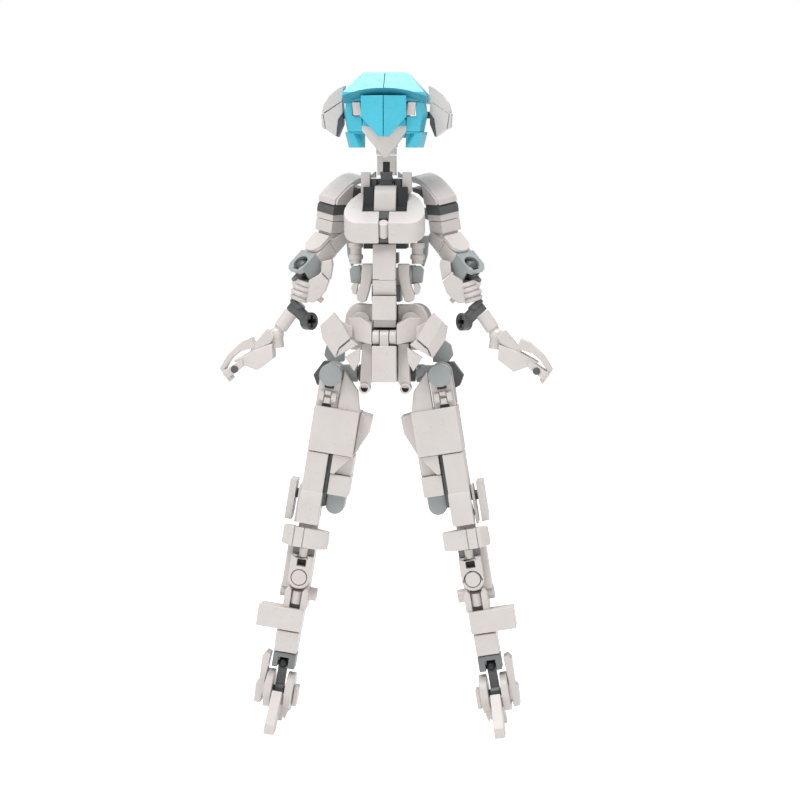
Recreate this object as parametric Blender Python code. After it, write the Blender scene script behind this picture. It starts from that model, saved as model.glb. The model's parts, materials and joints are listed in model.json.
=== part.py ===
"""Humanoid robot kit of interlocking plastic bricks, standing on two feet and facing -Y."""

import math

import bmesh
import bpy
from mathutils import Matrix, Vector

MM = 0.001

HEAD_TOP = 229.4
NECK_Z = 190.0
HEAD_PIVOT_Z = 200.0
NECK_Y = -0.5
SHOULDER_Z = 181.0
SHOULDER_Y = 10.4
RAISE_X = 15.5
CHEST_HINGE_Z = 160.1
WAIST_TOP = 150.2
FLAP_Z = 138.9
FLAP_Y = -10.6
TUBE_X = 6.8
HIP_Z = 125.7
HIP_X = 18.8
LEG_TILT = 9.2
LEG_ORIGIN = (18.0, 0.0, 105.6)
KNEE_DOWN = 30.0
ANKLE_DOWN = 84.6
FOOT_DOWN = 94.0
DISC_R = 6.8
ARM_ORIGIN = (18.8, 3.0, 184.0)
ARM_TWIST = 39.0
ARM_LEAN = 8.0
ARM_HALF = 3.9
ELBOW_TILT = 36.0
LOWER_LEAN = -32.0
LOWER_TWIST = 30.0
LOWER_ORIGIN = (23.3, 1.7, 167.6)
ELBOW_DOWN = 9.0
HAND_Y = -4.5
WRIST_TOP = (32.6, HAND_Y + 1.5, 147.6)
WRIST_END = (38.4, HAND_Y + 0.8, 139.4)
BREAST_TILT = 39.0
ARMOUR_PIVOT = (17.0, 144.0)
EAR_PIVOT = (14.4, 0.0, 215.0)
FINGER_PIVOT = (54.9, 126.0)
PIN_R = 1.2
BORE_R = 1.5
SMALL_PIN_R = 0.7
SMALL_BORE_R = 1.0
FLAP_PIN_R = 0.9
FLAP_BORE_R = 1.2
RAISE_PIN_R = 1.4
RAISE_BORE_R = 1.7
WRIST_PIN_R = 1.5
WRIST_BORE_R = 1.8
HIP_BORE_R = 1.6
ANKLE_PIN_R = 0.8
ANKLE_BORE_R = 1.3
FOOT_PIN_R = 1.3
FOOT_BORE_R = 1.6
WAIST_POST_R = 2.6
WAIST_SOCKET_R = 2.9
NECK_POST_R = 2.2
NECK_SOCKET_R = 2.6
TILE_HALF = 3.95
WAIST_Y = 1.0
TUBE_Z = 120.4
TUBE_R = 1.8
TUBE_BORE_R = 1.2
SHOULDER_SWING_X = 10.0
HIP_SWING_X = 11.0
ARMOUR_Y = -14.0
KNEE_X = 4.0
ANKLE_X = 5.2
SHIN_AXLE_Z = -58.5
ARMPIT_BLOCK_X = 12.2
PANEL_HALF = 7.9

WHITE = (0.74, 0.70, 0.68, 1.0)
CYAN = (0.13, 0.62, 0.80, 1.0)
LIGHT_GREY = (0.40, 0.44, 0.45, 1.0)
DARK_GREY = (0.145, 0.15, 0.152, 1.0)

WORLD = Matrix.Identity(4)


def clear_scene():
    for obj in list(bpy.data.objects):
        bpy.data.objects.remove(obj, do_unlink=True)
    for mesh in list(bpy.data.meshes):
        bpy.data.meshes.remove(mesh)


def make_collection(name):
    collection = bpy.data.collections.new(name)
    bpy.context.scene.collection.children.link(collection)
    return collection


def turn(axis, degrees):
    return Matrix.Rotation(math.radians(degrees), 4, axis)


def shift(x, y, z):
    return Matrix.Translation(Vector((x, y, z)))


def new_mesh_object(bm, name):
    bmesh.ops.recalc_face_normals(bm, faces=bm.faces)
    mesh = bpy.data.meshes.new(name)
    bm.to_mesh(mesh)
    bm.free()
    obj = bpy.data.objects.new(name, mesh)
    KIT.objects.link(obj)
    return obj


def block(low, high, frame=WORLD):
    """A box between two corners of a frame, in millimetres."""
    size = [high[i] - low[i] for i in range(3)]
    middle = [(high[i] + low[i]) / 2 for i in range(3)]
    matrix = frame @ shift(*middle) @ Matrix.Diagonal((*size, 1.0))
    bm = bmesh.new()
    bmesh.ops.create_cube(bm, size=1.0, matrix=matrix)
    return new_mesh_object(bm, "block")


def rod(start, end, radius, frame=WORLD, sides=16):
    """A round bar between two points of a frame."""
    a = Vector(start)
    b = Vector(end)
    along = (b - a).to_track_quat("Z", "Y").to_matrix().to_4x4()
    matrix = frame @ Matrix.Translation((a + b) / 2) @ along
    bm = bmesh.new()
    bmesh.ops.create_cone(
        bm,
        cap_ends=True,
        segments=sides,
        radius1=radius,
        radius2=radius,
        depth=(b - a).length,
        matrix=matrix,
    )
    return new_mesh_object(bm, "rod")


def outline(plane, points, low, high, frame=WORLD):
    """A plate cut to an outline in one plane of a frame, between two depths on the plane's own axis."""
    curve = bpy.data.curves.new("outline", "CURVE")
    curve.dimensions = "2D"
    curve.fill_mode = "BOTH"
    curve.extrude = (high - low) / 2
    spline = curve.splines.new("POLY")
    spline.points.add(len(points) - 1)
    for slot, point in zip(spline.points, points):
        slot.co = (point[0], point[1], 0.0, 1.0)
    spline.use_cyclic_u = True
    obj = bpy.data.objects.new("outline", curve)
    KIT.objects.link(obj)
    bpy.context.view_layer.update()
    graph = bpy.context.evaluated_depsgraph_get()
    mesh = bpy.data.meshes.new_from_object(obj.evaluated_get(graph))
    bpy.data.objects.remove(obj)
    middle = (high + low) / 2
    turned = {
        "XY": Matrix.Identity(4),
        "XZ": Matrix(((1, 0, 0, 0), (0, 0, -1, 0), (0, 1, 0, 0), (0, 0, 0, 1))),
        "YZ": Matrix(((0, 0, 1, 0), (1, 0, 0, 0), (0, 1, 0, 0), (0, 0, 0, 1))),
    }[plane]
    place = {"XY": (0, 0, middle), "XZ": (0, middle, 0), "YZ": (middle, 0, 0)}[plane]
    bm = bmesh.new()
    bm.from_mesh(mesh)
    bmesh.ops.remove_doubles(bm, verts=bm.verts, dist=1e-5)
    bmesh.ops.transform(bm, matrix=frame @ shift(*place) @ turned, verts=bm.verts)
    bpy.data.meshes.remove(mesh)
    return new_mesh_object(bm, "outline")


def combine(target, other, operation):
    modifier = target.modifiers.new("join", "BOOLEAN")
    modifier.operation = operation
    modifier.solver = "EXACT"
    modifier.object = other
    graph = bpy.context.evaluated_depsgraph_get()
    graph.update()
    mesh = bpy.data.meshes.new_from_object(target.evaluated_get(graph))
    target.modifiers.clear()
    old = target.data
    target.data = mesh
    bpy.data.meshes.remove(old)
    bpy.data.objects.remove(other)


def fuse(solids, cuts=()):
    target = solids[0]
    for other in solids[1:]:
        combine(target, other, "UNION")
    for other in cuts:
        combine(target, other, "DIFFERENCE")
    bm = bmesh.new()
    bm.from_mesh(target.data)
    bmesh.ops.remove_doubles(bm, verts=bm.verts, dist=1e-4)
    bmesh.ops.dissolve_limit(
        bm, angle_limit=math.radians(0.2), verts=bm.verts, edges=bm.edges
    )
    bm.to_mesh(target.data)
    bm.free()
    return target


def make_material(name, color, roughness=0.32):
    material = bpy.data.materials.new(name)
    material.use_nodes = True
    shader = material.node_tree.nodes["Principled BSDF"]
    shader.inputs["Base Color"].default_value = color
    shader.inputs["Roughness"].default_value = roughness
    material.diffuse_color = color
    return material


def empty(name, place, parent=None):
    """The origin of a moving body, on its hinge's axis."""
    obj = bpy.data.objects.new(name, None)
    KIT.objects.link(obj)
    obj.empty_display_size = 0.004
    origin = Vector(place) * MM
    if parent is not None:
        obj.parent = parent
        origin = origin - world_origin(parent)
    obj.location = origin
    return obj


def world_origin(obj):
    origin = Vector(obj.location)
    while obj.parent is not None:
        obj = obj.parent
        origin = origin + Vector(obj.location)
    return origin


def finish(name, solid, color, body, side=1):
    """Names a sub-part, mirrors it for the other side, and hangs it on its body's origin."""
    solid.name = name
    solid.data.name = name
    mesh = solid.data
    if side < 0:
        mesh.transform(Matrix.Diagonal((-1.0, 1.0, 1.0, 1.0)))
        mesh.flip_normals()
    origin = world_origin(body)
    mesh.transform(Matrix.Diagonal((MM, MM, MM, 1.0)))
    mesh.transform(Matrix.Translation(-origin))
    mesh.shade_smooth()
    mesh.set_sharp_from_angle(angle=math.radians(35))
    mesh.materials.clear()
    mesh.materials.append(make_material(name, color))
    solid.parent = body
    return solid


# Pelvis


def pelvis_core():
    beam = block((-8.0, -4.0, 129.0), (8.0, 6.0, WAIST_TOP))
    lower = block((-4.2, -5.6, 121.0), (4.2, 4.0, 131.0))
    stub = rod((-9.9, 0.0, HIP_Z), (9.9, 0.0, HIP_Z), 3.0)
    axle = rod((-13.8, 0.0, HIP_Z), (13.8, 0.0, HIP_Z), PIN_R)
    socket = rod((0.0, WAIST_Y, 143.5), (0.0, WAIST_Y, 152.0), WAIST_SOCKET_R)
    return fuse([beam, lower, stub, axle], [socket])


def pelvis_front():
    tile = block((-TILE_HALF, -12.6, 143.2), (TILE_HALF, -10.4, 152.2))
    mount = block((-3.9, -10.9, 143.2), (3.9, -4.3, WAIST_TOP - 0.2))
    solids = [tile, mount]
    for side in (-1, 1):
        skirt = [(4.3, -13.0), (11.7, -10.2), (11.7, -6.5), (4.3, -6.5)]
        skirt = [(side * x, y) for x, y in skirt]
        solids.append(outline("XY", skirt, 135.2, 144.1))
        solids.append(rod((side * 2.0, FLAP_Y, FLAP_Z), (side * 4.8, FLAP_Y, FLAP_Z), 2.3))
        solids.extend(armour_hanger(side))
    solids.append(block((-5.0, -6.9, 134.5), (5.0, -4.3, 144.0)))
    solids.append(rod((-3.0, FLAP_Y, FLAP_Z), (3.0, FLAP_Y, FLAP_Z), FLAP_PIN_R))
    return fuse(solids + crotch_plates(), crotch_bores())


def armour_hanger(side):
    """The arm behind each skirt, and the pin at its end that the side armour turns on."""
    x, z = ARMOUR_PIVOT
    shape = [(10.6, 138.0), (10.6, 142.6), (16.2, z + 1.8), (18.4, z + 1.4), (18.4, z - 1.6), (15.8, z - 2.6)]
    shape = [(side * u, v) for u, v in shape]
    arm = outline("XZ", shape, -9.3, -6.7)
    pin = rod((side * x, -14.6, z), (side * x, -8.0, z), PIN_R)
    return [arm, pin]


def pelvis_arch():
    """The curved hip frame behind the skirts, carried by the beam."""
    arc = [(4.4, 142.6)]
    for step in range(9):
        angle = math.radians(180 - 20 * step)
        arc.append((9.7 + 5.3 * math.cos(angle), 144.6 + 5.4 * math.sin(angle)))
    arc.append((15.0, 139.0))
    arc.append((10.5, 137.5))
    arc.append((8.4, 137.5))
    arc.append((8.4, 142.6))
    solids = []
    for side in (-1, 1):
        shape = [(side * x, z) for x, z in arc]
        solids.append(outline("XZ", shape, 6.3, 11.0))
    bridge = block((-9.5, 6.3, 137.6), (9.5, 10.8, 146.0))
    return fuse(solids + [bridge])


def front_flap():
    tile = block((-TILE_HALF, -13.6, 122.2), (TILE_HALF, -11.2, 134.9))
    knuckle = rod((-1.6, FLAP_Y, FLAP_Z), (1.6, FLAP_Y, FLAP_Z), 2.3)
    neck = block((-1.6, -12.8, 133.5), (1.6, -10.9, FLAP_Z))
    hole = rod((-2.5, FLAP_Y, FLAP_Z), (2.5, FLAP_Y, FLAP_Z), FLAP_BORE_R)
    return fuse([tile, knuckle, neck], [hole])


def crotch_plates():
    """The tapering side plates with the two forward-facing tubes, behind the flap."""
    solids = []
    for side in (-1, 1):
        shape = [(4.5, 136.0), (8.0, 136.0), (8.4, 122.0), (7.6, 119.6), (6.0, 119.6), (4.5, 122.4)]
        shape = [(side * x, z) for x, z in shape]
        solids.append(outline("XZ", shape, -9.6, -4.3))
        solids.append(rod((side * TUBE_X, -10.2, TUBE_Z), (side * TUBE_X, -3.6, TUBE_Z), TUBE_R))
    solids.append(block((-6.0, -9.4, 123.0), (6.0, -5.9, 135.0)))
    return solids


def crotch_bores():
    bores = []
    for side in (-1, 1):
        x = side * TUBE_X
        bores.append(rod((x, -11.0, TUBE_Z), (x, -3.0, TUBE_Z), TUBE_BORE_R))
    return bores


def side_armour():
    plate = [
        (16.1, 146.8),
        (20.5, 141.9),
        (20.4, 137.7),
        (18.5, 132.8),
        (14.8, 129.8),
        (10.6, 134.0),
        (12.4, 137.6),
        (13.6, 143.0),
    ]
    lower = [(14.4, 130.4), (10.9, 134.0), (9.4, 132.0), (10.2, 126.8)]
    main = outline("XZ", plate, -16.0, -12.8)
    small = outline("XZ", lower, -15.0, -12.8)
    x, z = ARMOUR_PIVOT
    bore = rod((x, -15.0, z), (x, -12.0, z), BORE_R)
    return fuse([main, small], [bore])


# Waist and chest


def abdomen_core():
    base = block((-5.0, -4.5, 150.6), (5.0, 5.0, 156.6))
    solids = [base]
    for side in (-1, 1):
        low, high = sorted((side * 2.95, side * 6.3))
        solids.append(block((low, -3.0, 154.0), (high, 3.0, CHEST_HINGE_Z)))
        solids.append(
            rod((side * 2.95, 0, CHEST_HINGE_Z), (side * 10.5, 0, CHEST_HINGE_Z), 3.3)
        )
    post = rod((0, WAIST_Y, 144.0), (0, WAIST_Y, 151.5), WAIST_POST_R)
    bore = rod((-6.6, 0, CHEST_HINGE_Z), (6.6, 0, CHEST_HINGE_Z), BORE_R)
    return fuse(solids + [post], [bore])


def abdomen_front():
    shape = [(-9.6, 152.6), (-9.0, 157.6), (-4.8, 157.6), (-4.8, 152.6)]
    return outline("YZ", shape, -TILE_HALF, TILE_HALF)


def waist_arm():
    shape = [
        (5.4, 163.2),
        (8.6, 163.2),
        (9.6, 158.0),
        (10.1, 152.4),
        (9.2, 150.8),
        (6.2, 150.8),
        (5.6, 157.0),
    ]
    return outline("XZ", shape, -7.4, -4.0)


def stomach_slope():
    shape = [(-12.6, 158.1), (-12.6, 160.2), (-10.6, 169.5), (-9.9, 169.5), (-9.9, 158.1)]
    return outline("YZ", shape, -TILE_HALF, TILE_HALF)


def chest_core():
    body = block((-5.0, -3.4, 171.0), (5.0, 7.0, 186.5))
    lug = block((-3.6, -9.6, 165.5), (3.6, 3.0, 171.6))
    spine = block((-2.6, -2.6, CHEST_HINGE_Z), (2.6, 2.6, 172.0))
    hub = rod((-2.6, 0, CHEST_HINGE_Z), (2.6, 0, CHEST_HINGE_Z), 3.0)
    pin = rod((-6.0, 0, CHEST_HINGE_Z), (6.0, 0, CHEST_HINGE_Z), PIN_R)
    beam = block((-8.9, 6.0, 178.4), (8.9, 13.2, 183.4))
    neck_pin = rod((-3.9, NECK_Y, NECK_Z), (3.9, NECK_Y, NECK_Z), PIN_R)
    axle = rod((-12.4, SHOULDER_Y, SHOULDER_Z), (12.4, SHOULDER_Y, SHOULDER_Z), PIN_R)
    solids = [body, lug, spine, hub, pin, beam, neck_pin, axle]
    for side in (-1, 1):
        low, high = sorted((side * 2.9, side * 5.2))
        solids.append(block((low, -3.0, 185.5), (high, 2.2, 192.4)))
        low, high = sorted((side * 4.0, side * ARMPIT_BLOCK_X))
        solids.append(block((low, 2.2, 172.4), (high, 5.4, 176.8)))
    return fuse(solids)


def breast_frame():
    return shift(0, -4.0, 188.2) @ turn("X", BREAST_TILT)


def breast():
    """One half of the curved ring across the chest, leaning forward."""
    shape = []
    for step in range(13):
        angle = math.radians(7.5 * step)
        shape.append((1.65 + 12.3 * math.cos(angle), -16.0 * math.sin(angle)))
    for step in range(9):
        angle = math.radians(90 - 11.25 * step)
        shape.append((1.65 + 6.3 * math.cos(angle), -8.6 * math.sin(angle)))
    return outline("XY", shape, -8.6, 0.0, breast_frame())


def chest_front():
    frame = breast_frame()
    slope = outline(
        "YZ",
        [(-8.2, 182.0), (-8.2, 185.6), (-6.6, 189.6), (-4.9, 190.7), (-3.8, 190.7), (-3.8, 182.0)],
        -3.9,
        3.9,
    )
    strip = block((-1.3, -13.0, -6.4), (1.3, -5.0, -2.6), frame)
    pin = rod((0, -13.4, -0.6), (0, -13.4, -8.0), 1.3, frame)
    return fuse([slope, strip, pin])


def collar_yoke():
    solids = [block((-6.6, 2.6, 188.4), (6.6, 4.0, 194.0))]
    for side in (-1, 1):
        low, high = sorted((side * 5.7, side * 8.6))
        solids.append(block((low, -3.4, 188.6), (high, 0.6, 195.4)))
        low, high = sorted((side * 5.6, side * 6.5))
        solids.append(block((low, 0.4, 188.7), (high, 3.2, 193.8)))
    return fuse(solids)


def rib():
    post = rod((10.4, -1.0, 164.4), (10.4, -1.0, 172.0), 1.9)
    slope = outline("XZ", [(9.6, 172.0), (9.6, 166.5), (11.5, 164.6), (13.4, 172.0)], -0.6, 1.8)
    return fuse([post, slope])


# Head


def neck():
    hub = rod((-2.6, NECK_Y, NECK_Z), (2.6, NECK_Y, NECK_Z), 2.5)
    post = block((-2.5, NECK_Y - 1.9, NECK_Z), (2.5, NECK_Y + 1.9, 200.0))
    top = rod((0, NECK_Y, 199.0), (0, NECK_Y, 207.4), NECK_POST_R)
    bore = rod((-3.6, NECK_Y, NECK_Z), (3.6, NECK_Y, NECK_Z), BORE_R)
    return fuse([hub, post, top], [bore])


def face():
    skull = block((-6.6, -9.8, 203.4), (6.6, 4.0, 219.4))
    front = block((-10.4, -12.4, 213.6), (10.4, -9.3, 219.4))
    jaw = [(-7.4, 214.0), (-7.4, 209.6), (-0.6, 200.6), (0.6, 200.6), (7.4, 209.6), (7.4, 214.0)]
    chin = outline("XZ", jaw, -12.4, -5.0)
    bore = rod((0, NECK_Y, 200.2), (0, NECK_Y, 208.0), NECK_SOCKET_R)
    return fuse([skull, front, chin], [bore])


def hair_top():
    shape = [
        (-14.0, 219.8),
        (14.0, 219.8),
        (14.0, 222.0),
        (11.8, 225.0),
        (7.4, HEAD_TOP),
        (-7.4, HEAD_TOP),
        (-11.8, 225.0),
        (-14.0, 222.0),
    ]
    crown = outline("XZ", shape, -14.0, 13.0)
    front = outline(
        "YZ", [(-15.0, 231.0), (-15.0, 222.8), (-14.0, 222.4), (-8.2, 231.0)], -16.0, 16.0
    )
    back = outline("YZ", [(14.0, 231.0), (14.0, 222.0), (13.0, 222.0), (7.0, 231.0)], -16.0, 16.0)
    return fuse([crown, hair_back()], [front, back])


def hair_fringe():
    shape = [(-7.8, 219.5), (-7.8, 213.6), (-1.6, 207.8), (1.6, 207.8), (7.8, 213.6), (7.8, 219.5)]
    return outline("XZ", shape, -15.2, -12.7)


def hair_side():
    shape = [
        (8.2, 219.5),
        (13.2, 219.5),
        (14.0, 214.5),
        (13.0, 209.0),
        (12.4, 204.2),
        (7.8, 204.0),
        (7.0, 207.0),
        (8.0, 211.0),
    ]
    lock = outline("XZ", shape, -9.0, 7.0)
    x, y, z = EAR_PIVOT
    pin = rod((x - 2.0, y, z), (x + 2.2, y, z), PIN_R)
    return fuse([lock, pin])


def hair_back():
    shape = [(4.4, 220.5), (12.6, 220.5), (12.6, 209.0), (10.0, 203.4), (4.4, 203.4)]
    return outline("YZ", shape, -6.6, 6.6)


def ear_pod():
    shape = [(14.4, 223.2), (21.3, 216.2), (20.5, 210.4), (16.0, 207.2), (14.4, 208.8)]
    pod = outline("XZ", shape, -4.0, 4.0)
    x, y, z = EAR_PIVOT
    bore = rod((x - 1.0, y, z), (x + 2.6, y, z), BORE_R)
    return fuse([pod], [bore])


# Arm


def arm_frame():
    return shift(*ARM_ORIGIN) @ turn("X", ARM_LEAN) @ turn("Y", -ARM_LEAN) @ turn("Z", ARM_TWIST)


def lower_frame():
    """The lower part of the upper arm, which leans out and forward from its top."""
    return shift(*LOWER_ORIGIN) @ turn("X", LOWER_LEAN) @ turn("Y", -ELBOW_TILT) @ turn("Z", LOWER_TWIST)


ARMOUR_TOP = [(-4.0, 2.1), (-2.0, 4.1), (1.0, 6.2), (4.5, 7.8), (8.0, 8.7), (10.8, 9.0)]


def shoulder_hub():
    y = SHOULDER_Y
    z = SHOULDER_Z
    disc = rod((9.2, y, z), (11.6, y, z), 2.6)
    neck_block = block((10.4, y - 1.7, z - 2.0), (RAISE_X, y + 1.7, z + 2.0))
    barrel = rod((RAISE_X, y - 1.8, z), (RAISE_X, y + 1.8, z), 3.0)
    bore = rod((RAISE_X, y - 3.0, z), (RAISE_X, y + 3.0, z), RAISE_BORE_R)
    socket = rod((8.0, y, z), (12.8, y, z), BORE_R)
    return fuse([disc, neck_block, barrel], [bore, socket])


def shoulder_armour():
    under = [(y, z - 2.0) for y, z in reversed(ARMOUR_TOP)]
    return outline("YZ", ARMOUR_TOP + under, -4.0, 4.0, arm_frame())


def arm_band():
    y = SHOULDER_Y
    z = SHOULDER_Z
    top = [(p, q - 2.3) for p, q in ARMOUR_TOP]
    shape = top + [(10.8, 5.2), (7.6, 4.6), (4.0, 2.4), (4.0, -2.7), (-4.0, -2.7)]
    arch = outline("YZ", shape, -4.0, 4.0, arm_frame())
    bracket = block((19.0, 5.6, 182.0), (22.4, y + 4.4, 185.2))
    ear = block((RAISE_X, y + 2.1, z - 1.6), (22.4, y + 4.4, z + 4.2))
    end = rod((RAISE_X, y + 2.1, z), (RAISE_X, y + 4.4, z), 3.0)
    pin = rod((RAISE_X, y - 1.6, z), (RAISE_X, y + 3.0, z), RAISE_PIN_R)
    return fuse([arch, bracket, ear, end, pin])


def upper_arm():
    frame = lower_frame()
    column = block((-4.0, -4.0, -9.9), (4.0, 4.0, -3.0), arm_frame())
    lower = block((-ARM_HALF, -3.1, -3.9), (ARM_HALF, 4.0, 8.0), frame)
    shape = [(-ARM_HALF, 4.4)]
    for step in range(9):
        angle = math.radians(180 + 22.5 * step)
        shape.append((ARM_HALF * math.cos(angle), 0.4 + ARM_HALF * math.sin(angle)))
    shape.append((ARM_HALF, 4.4))
    tile = outline("XZ", shape, -4.8, -2.9, frame)
    return fuse([column, lower, tile])


def elbow_socket():
    frame = lower_frame()
    cube = block((-ARM_HALF, -4.0, -12.4), (ARM_HALF, 4.0, -4.2), frame)
    slot = block((-5.0, -2.3, -14.0), (5.0, 2.3, -5.6), frame)
    pin = rod((0, -3.2, -ELBOW_DOWN), (0, 3.2, -ELBOW_DOWN), PIN_R, frame)
    return fuse([fuse([cube], [slot]), pin])


def forearm():
    frame = lower_frame()
    knuckle = rod((0, -2.0, -ELBOW_DOWN), (0, 2.0, -ELBOW_DOWN), 3.0, frame)
    bend = frame @ Vector((0, 0, -ELBOW_DOWN - 5.2))
    bar = rod((0, 0, -ELBOW_DOWN), (0, 0, -ELBOW_DOWN - 5.6), 1.7, frame)
    lower = rod(tuple(bend), (30.0, HAND_Y + 1.0, 152.4), 1.6)
    cluster = block((24.4, HAND_Y - 2.6, 151.3), (33.0, HAND_Y + 5.2, 154.3))
    inner = block((21.4, HAND_Y - 2.0, 151.9), (26.0, HAND_Y + 4.6, 155.0))
    bore = rod((0, -3.0, -ELBOW_DOWN), (0, 3.0, -ELBOW_DOWN), BORE_R, frame)
    return fuse([knuckle, bar, lower, cluster, inner], [bore])


def between(start, end, share):
    return tuple(a + (b - a) * share for a, b in zip(start, end))


def wrist_connector():
    upper = rod((30.9, HAND_Y + 1.7, 149.5), WRIST_TOP, 2.5)
    elbow = rod((31.4, HAND_Y + 1.6, 148.4), (27.0, HAND_Y + 1.2, 143.9), 2.0)
    disc = rod((27.0, HAND_Y - 1.8, 143.9), (27.0, HAND_Y + 4.2, 143.9), 2.9)
    pin = rod(between(WRIST_TOP, WRIST_END, -0.1), between(WRIST_TOP, WRIST_END, 0.62), WRIST_PIN_R)
    return fuse([upper, elbow, disc, pin])


def palm():
    tube = rod(between(WRIST_TOP, WRIST_END, 0.27), between(WRIST_TOP, WRIST_END, 0.95), 2.5)
    clip = block((36.8, HAND_Y - 2.2, 133.2), (42.6, HAND_Y + 3.4, 139.6))
    wedge = outline(
        "XZ", [(52.4, 129.4), (39.3, 134.8), (39.0, 129.4), (44.5, 125.6)], HAND_Y - 5.0, HAND_Y + 5.0
    )
    solids = [tube, clip, wedge]
    cheek = [(48.0, 130.0), (47.5, 127.6), (54.2, 124.9), (55.6, 126.2), (54.8, 127.9)]
    for side in (-1, 1):
        low, high = sorted((side * 4.1, side * 5.4))
        solids.append(outline("XZ", cheek, HAND_Y + low, HAND_Y + high))
    x, z = FINGER_PIVOT
    solids.append(rod((x, HAND_Y - 4.6, z), (x, HAND_Y + 4.6, z), SMALL_PIN_R))
    bore = rod(between(WRIST_TOP, WRIST_END, 0.1), between(WRIST_TOP, WRIST_END, 0.7), WRIST_BORE_R)
    return fuse(solids, [bore])


def fingers():
    shape = [
        (45.6, 133.2),
        (46.6, 137.0),
        (57.6, 126.6),
        (54.2, 122.5),
        (53.2, 123.6),
        (54.4, 128.4),
        (50.5, 131.2),
    ]
    slab = outline("XZ", shape, HAND_Y - 3.7, HAND_Y + 3.7)
    x, z = FINGER_PIVOT
    bore = rod((x, HAND_Y - 5.0, z), (x, HAND_Y + 5.0, z), SMALL_BORE_R)
    return fuse([slab], [bore])


# Leg


def leg_frame():
    return shift(*LEG_ORIGIN) @ turn("Y", -LEG_TILT)


def hip_hub():
    disc = rod((10.3, 0, HIP_Z), (13.0, 0, HIP_Z), 3.2)
    neck_block = block((12.0, -2.8, HIP_Z - 2.8), (HIP_X, 2.8, HIP_Z + 2.8))
    barrel = rod((HIP_X, -2.8, HIP_Z), (HIP_X, 2.8, HIP_Z), 3.7)
    bore = rod((HIP_X, -4.0, HIP_Z), (HIP_X, 4.0, HIP_Z), HIP_BORE_R)
    socket = rod((9.0, 0, HIP_Z), (14.2, 0, HIP_Z), BORE_R)
    return fuse([disc, neck_block, barrel], [bore, socket])


def hip_place():
    """The hip's pivot in the leg's own frame."""
    return leg_frame().inverted() @ Vector((HIP_X, 0, HIP_Z))


def hip_tile():
    p = hip_place()
    frame = leg_frame()
    return rod((p.x, -9.6, p.z), (p.x, -7.0, p.z), TILE_HALF, frame, 24)


def thigh():
    p = hip_place()
    frame = leg_frame()
    solids = [
        block((-PANEL_HALF, -8.0, -8.0), (PANEL_HALF, 8.0, 7.6), frame),
        block((0.3, -6.6, 7.0), (7.7, -3.2, p.z), frame),
        rod((p.x, -6.7, p.z), (p.x, -3.1, p.z), 3.9, frame),
        block((0.3, 3.2, 7.0), (7.7, 6.6, p.z), frame),
        rod((p.x, 3.1, p.z), (p.x, 6.7, p.z), 3.9, frame),
        block((4.6, 5.0, 16.0), (9.4, 10.4, 27.0), frame),
        outline("XZ", [(1.0, 21.0), (-0.3, 21.6), (-6.0, 15.2), (-7.5, 7.0), (1.0, 7.0)], -6.2, -3.7, frame),
        outline("XZ", [(-7.0, 7.6), (-11.7, 7.2), (-11.7, 0.0), (-7.0, -6.9)], -5.0, 5.0, frame),
        block((0.4, -8.2, -25.6), (7.8, 5.6, -7.5), frame),
        block((-8.3, -6.0, -22.4), (-1.7, 5.4, -7.3), frame),
        block((0.3, -9.4, -33.8), (8.0, -5.2, -22.0), frame),
        block((7.2, -3.8, -25.2), (12.5, 3.8, -20.0), frame),
        block((8.2, -4.0, -33.4), (12.7, 4.0, -20.6), frame),
        rod((p.x, -4.8, p.z), (p.x, 4.8, p.z), PIN_R, frame),
    ]
    return fuse(solids)


def thigh_core():
    frame = leg_frame()
    z = -KNEE_DOWN
    solids = [
        block((-1.3, -6.4, -24.4), (0.0, 5.0, -8.3), frame),
        block((-7.0, -4.6, z), (0.0, 4.0, -22.8), frame),
        rod((-7.0, 0, z), (0.0, 0, z), 3.2, frame),
        rod((-0.5, 0, z), (7.8, 0, z), PIN_R, frame),
    ]
    return fuse(solids)


def shin():
    frame = leg_frame()
    z = -KNEE_DOWN
    solids = [
        rod((0.5, 0, z), (7.7, 0, z), 3.3, frame),
        block((0.6, -1.8, -39.0), (7.6, 2.6, z), frame),
        block((-4.0, -8.4, -41.5), (12.0, -4.7, -34.3), frame),
        block((-3.6, -6.0, -41.4), (11.6, 4.0, -37.8), frame),
        block((0.2, -5.4, -64.5), (8.0, 4.6, -41.0), frame),
        rod((-2.5, 0, SHIN_AXLE_Z), (10.4, 0, SHIN_AXLE_Z), 2.3, frame),
        block((0.5, -7.4, -72.0), (16.4, 3.4, -64.0), frame),
        block((1.0, -5.0, -80.0), (9.0, 4.6, -71.5), frame),
    ]
    bore = rod((-1.0, 0, z), (9.0, 0, z), BORE_R, frame)
    window = block((2.2, -6.5, -49.8), (5.4, -2.5, -46.4), frame)
    return fuse(solids, [bore, window])


def ankle_socket():
    frame = leg_frame()
    cube = block((1.0, -3.8, -85.6), (9.0, 3.8, -80.3), frame)
    slot = block((3.3, -5.0, -87.0), (7.1, 5.0, -81.8), frame)
    pin = rod((2.0, 0, -ANKLE_DOWN), (8.0, 0, -ANKLE_DOWN), ANKLE_PIN_R, frame)
    return fuse([fuse([cube], [slot]), pin])


def ankle_link():
    frame = leg_frame()
    solids = [
        rod((3.65, 0, -ANKLE_DOWN), (6.8, 0, -ANKLE_DOWN), 2.4, frame),
        block((3.7, -1.6, -FOOT_DOWN), (6.8, 1.6, -ANKLE_DOWN), frame),
        rod((3.7, 0, -FOOT_DOWN), (6.8, 0, -FOOT_DOWN), 2.9, frame),
    ]
    bores = [
        rod((3.0, 0, -ANKLE_DOWN), (7.6, 0, -ANKLE_DOWN), ANKLE_BORE_R, frame),
        rod((3.0, 0, -FOOT_DOWN), (7.6, 0, -FOOT_DOWN), FOOT_BORE_R, frame),
    ]
    return fuse(solids, bores)


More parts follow.
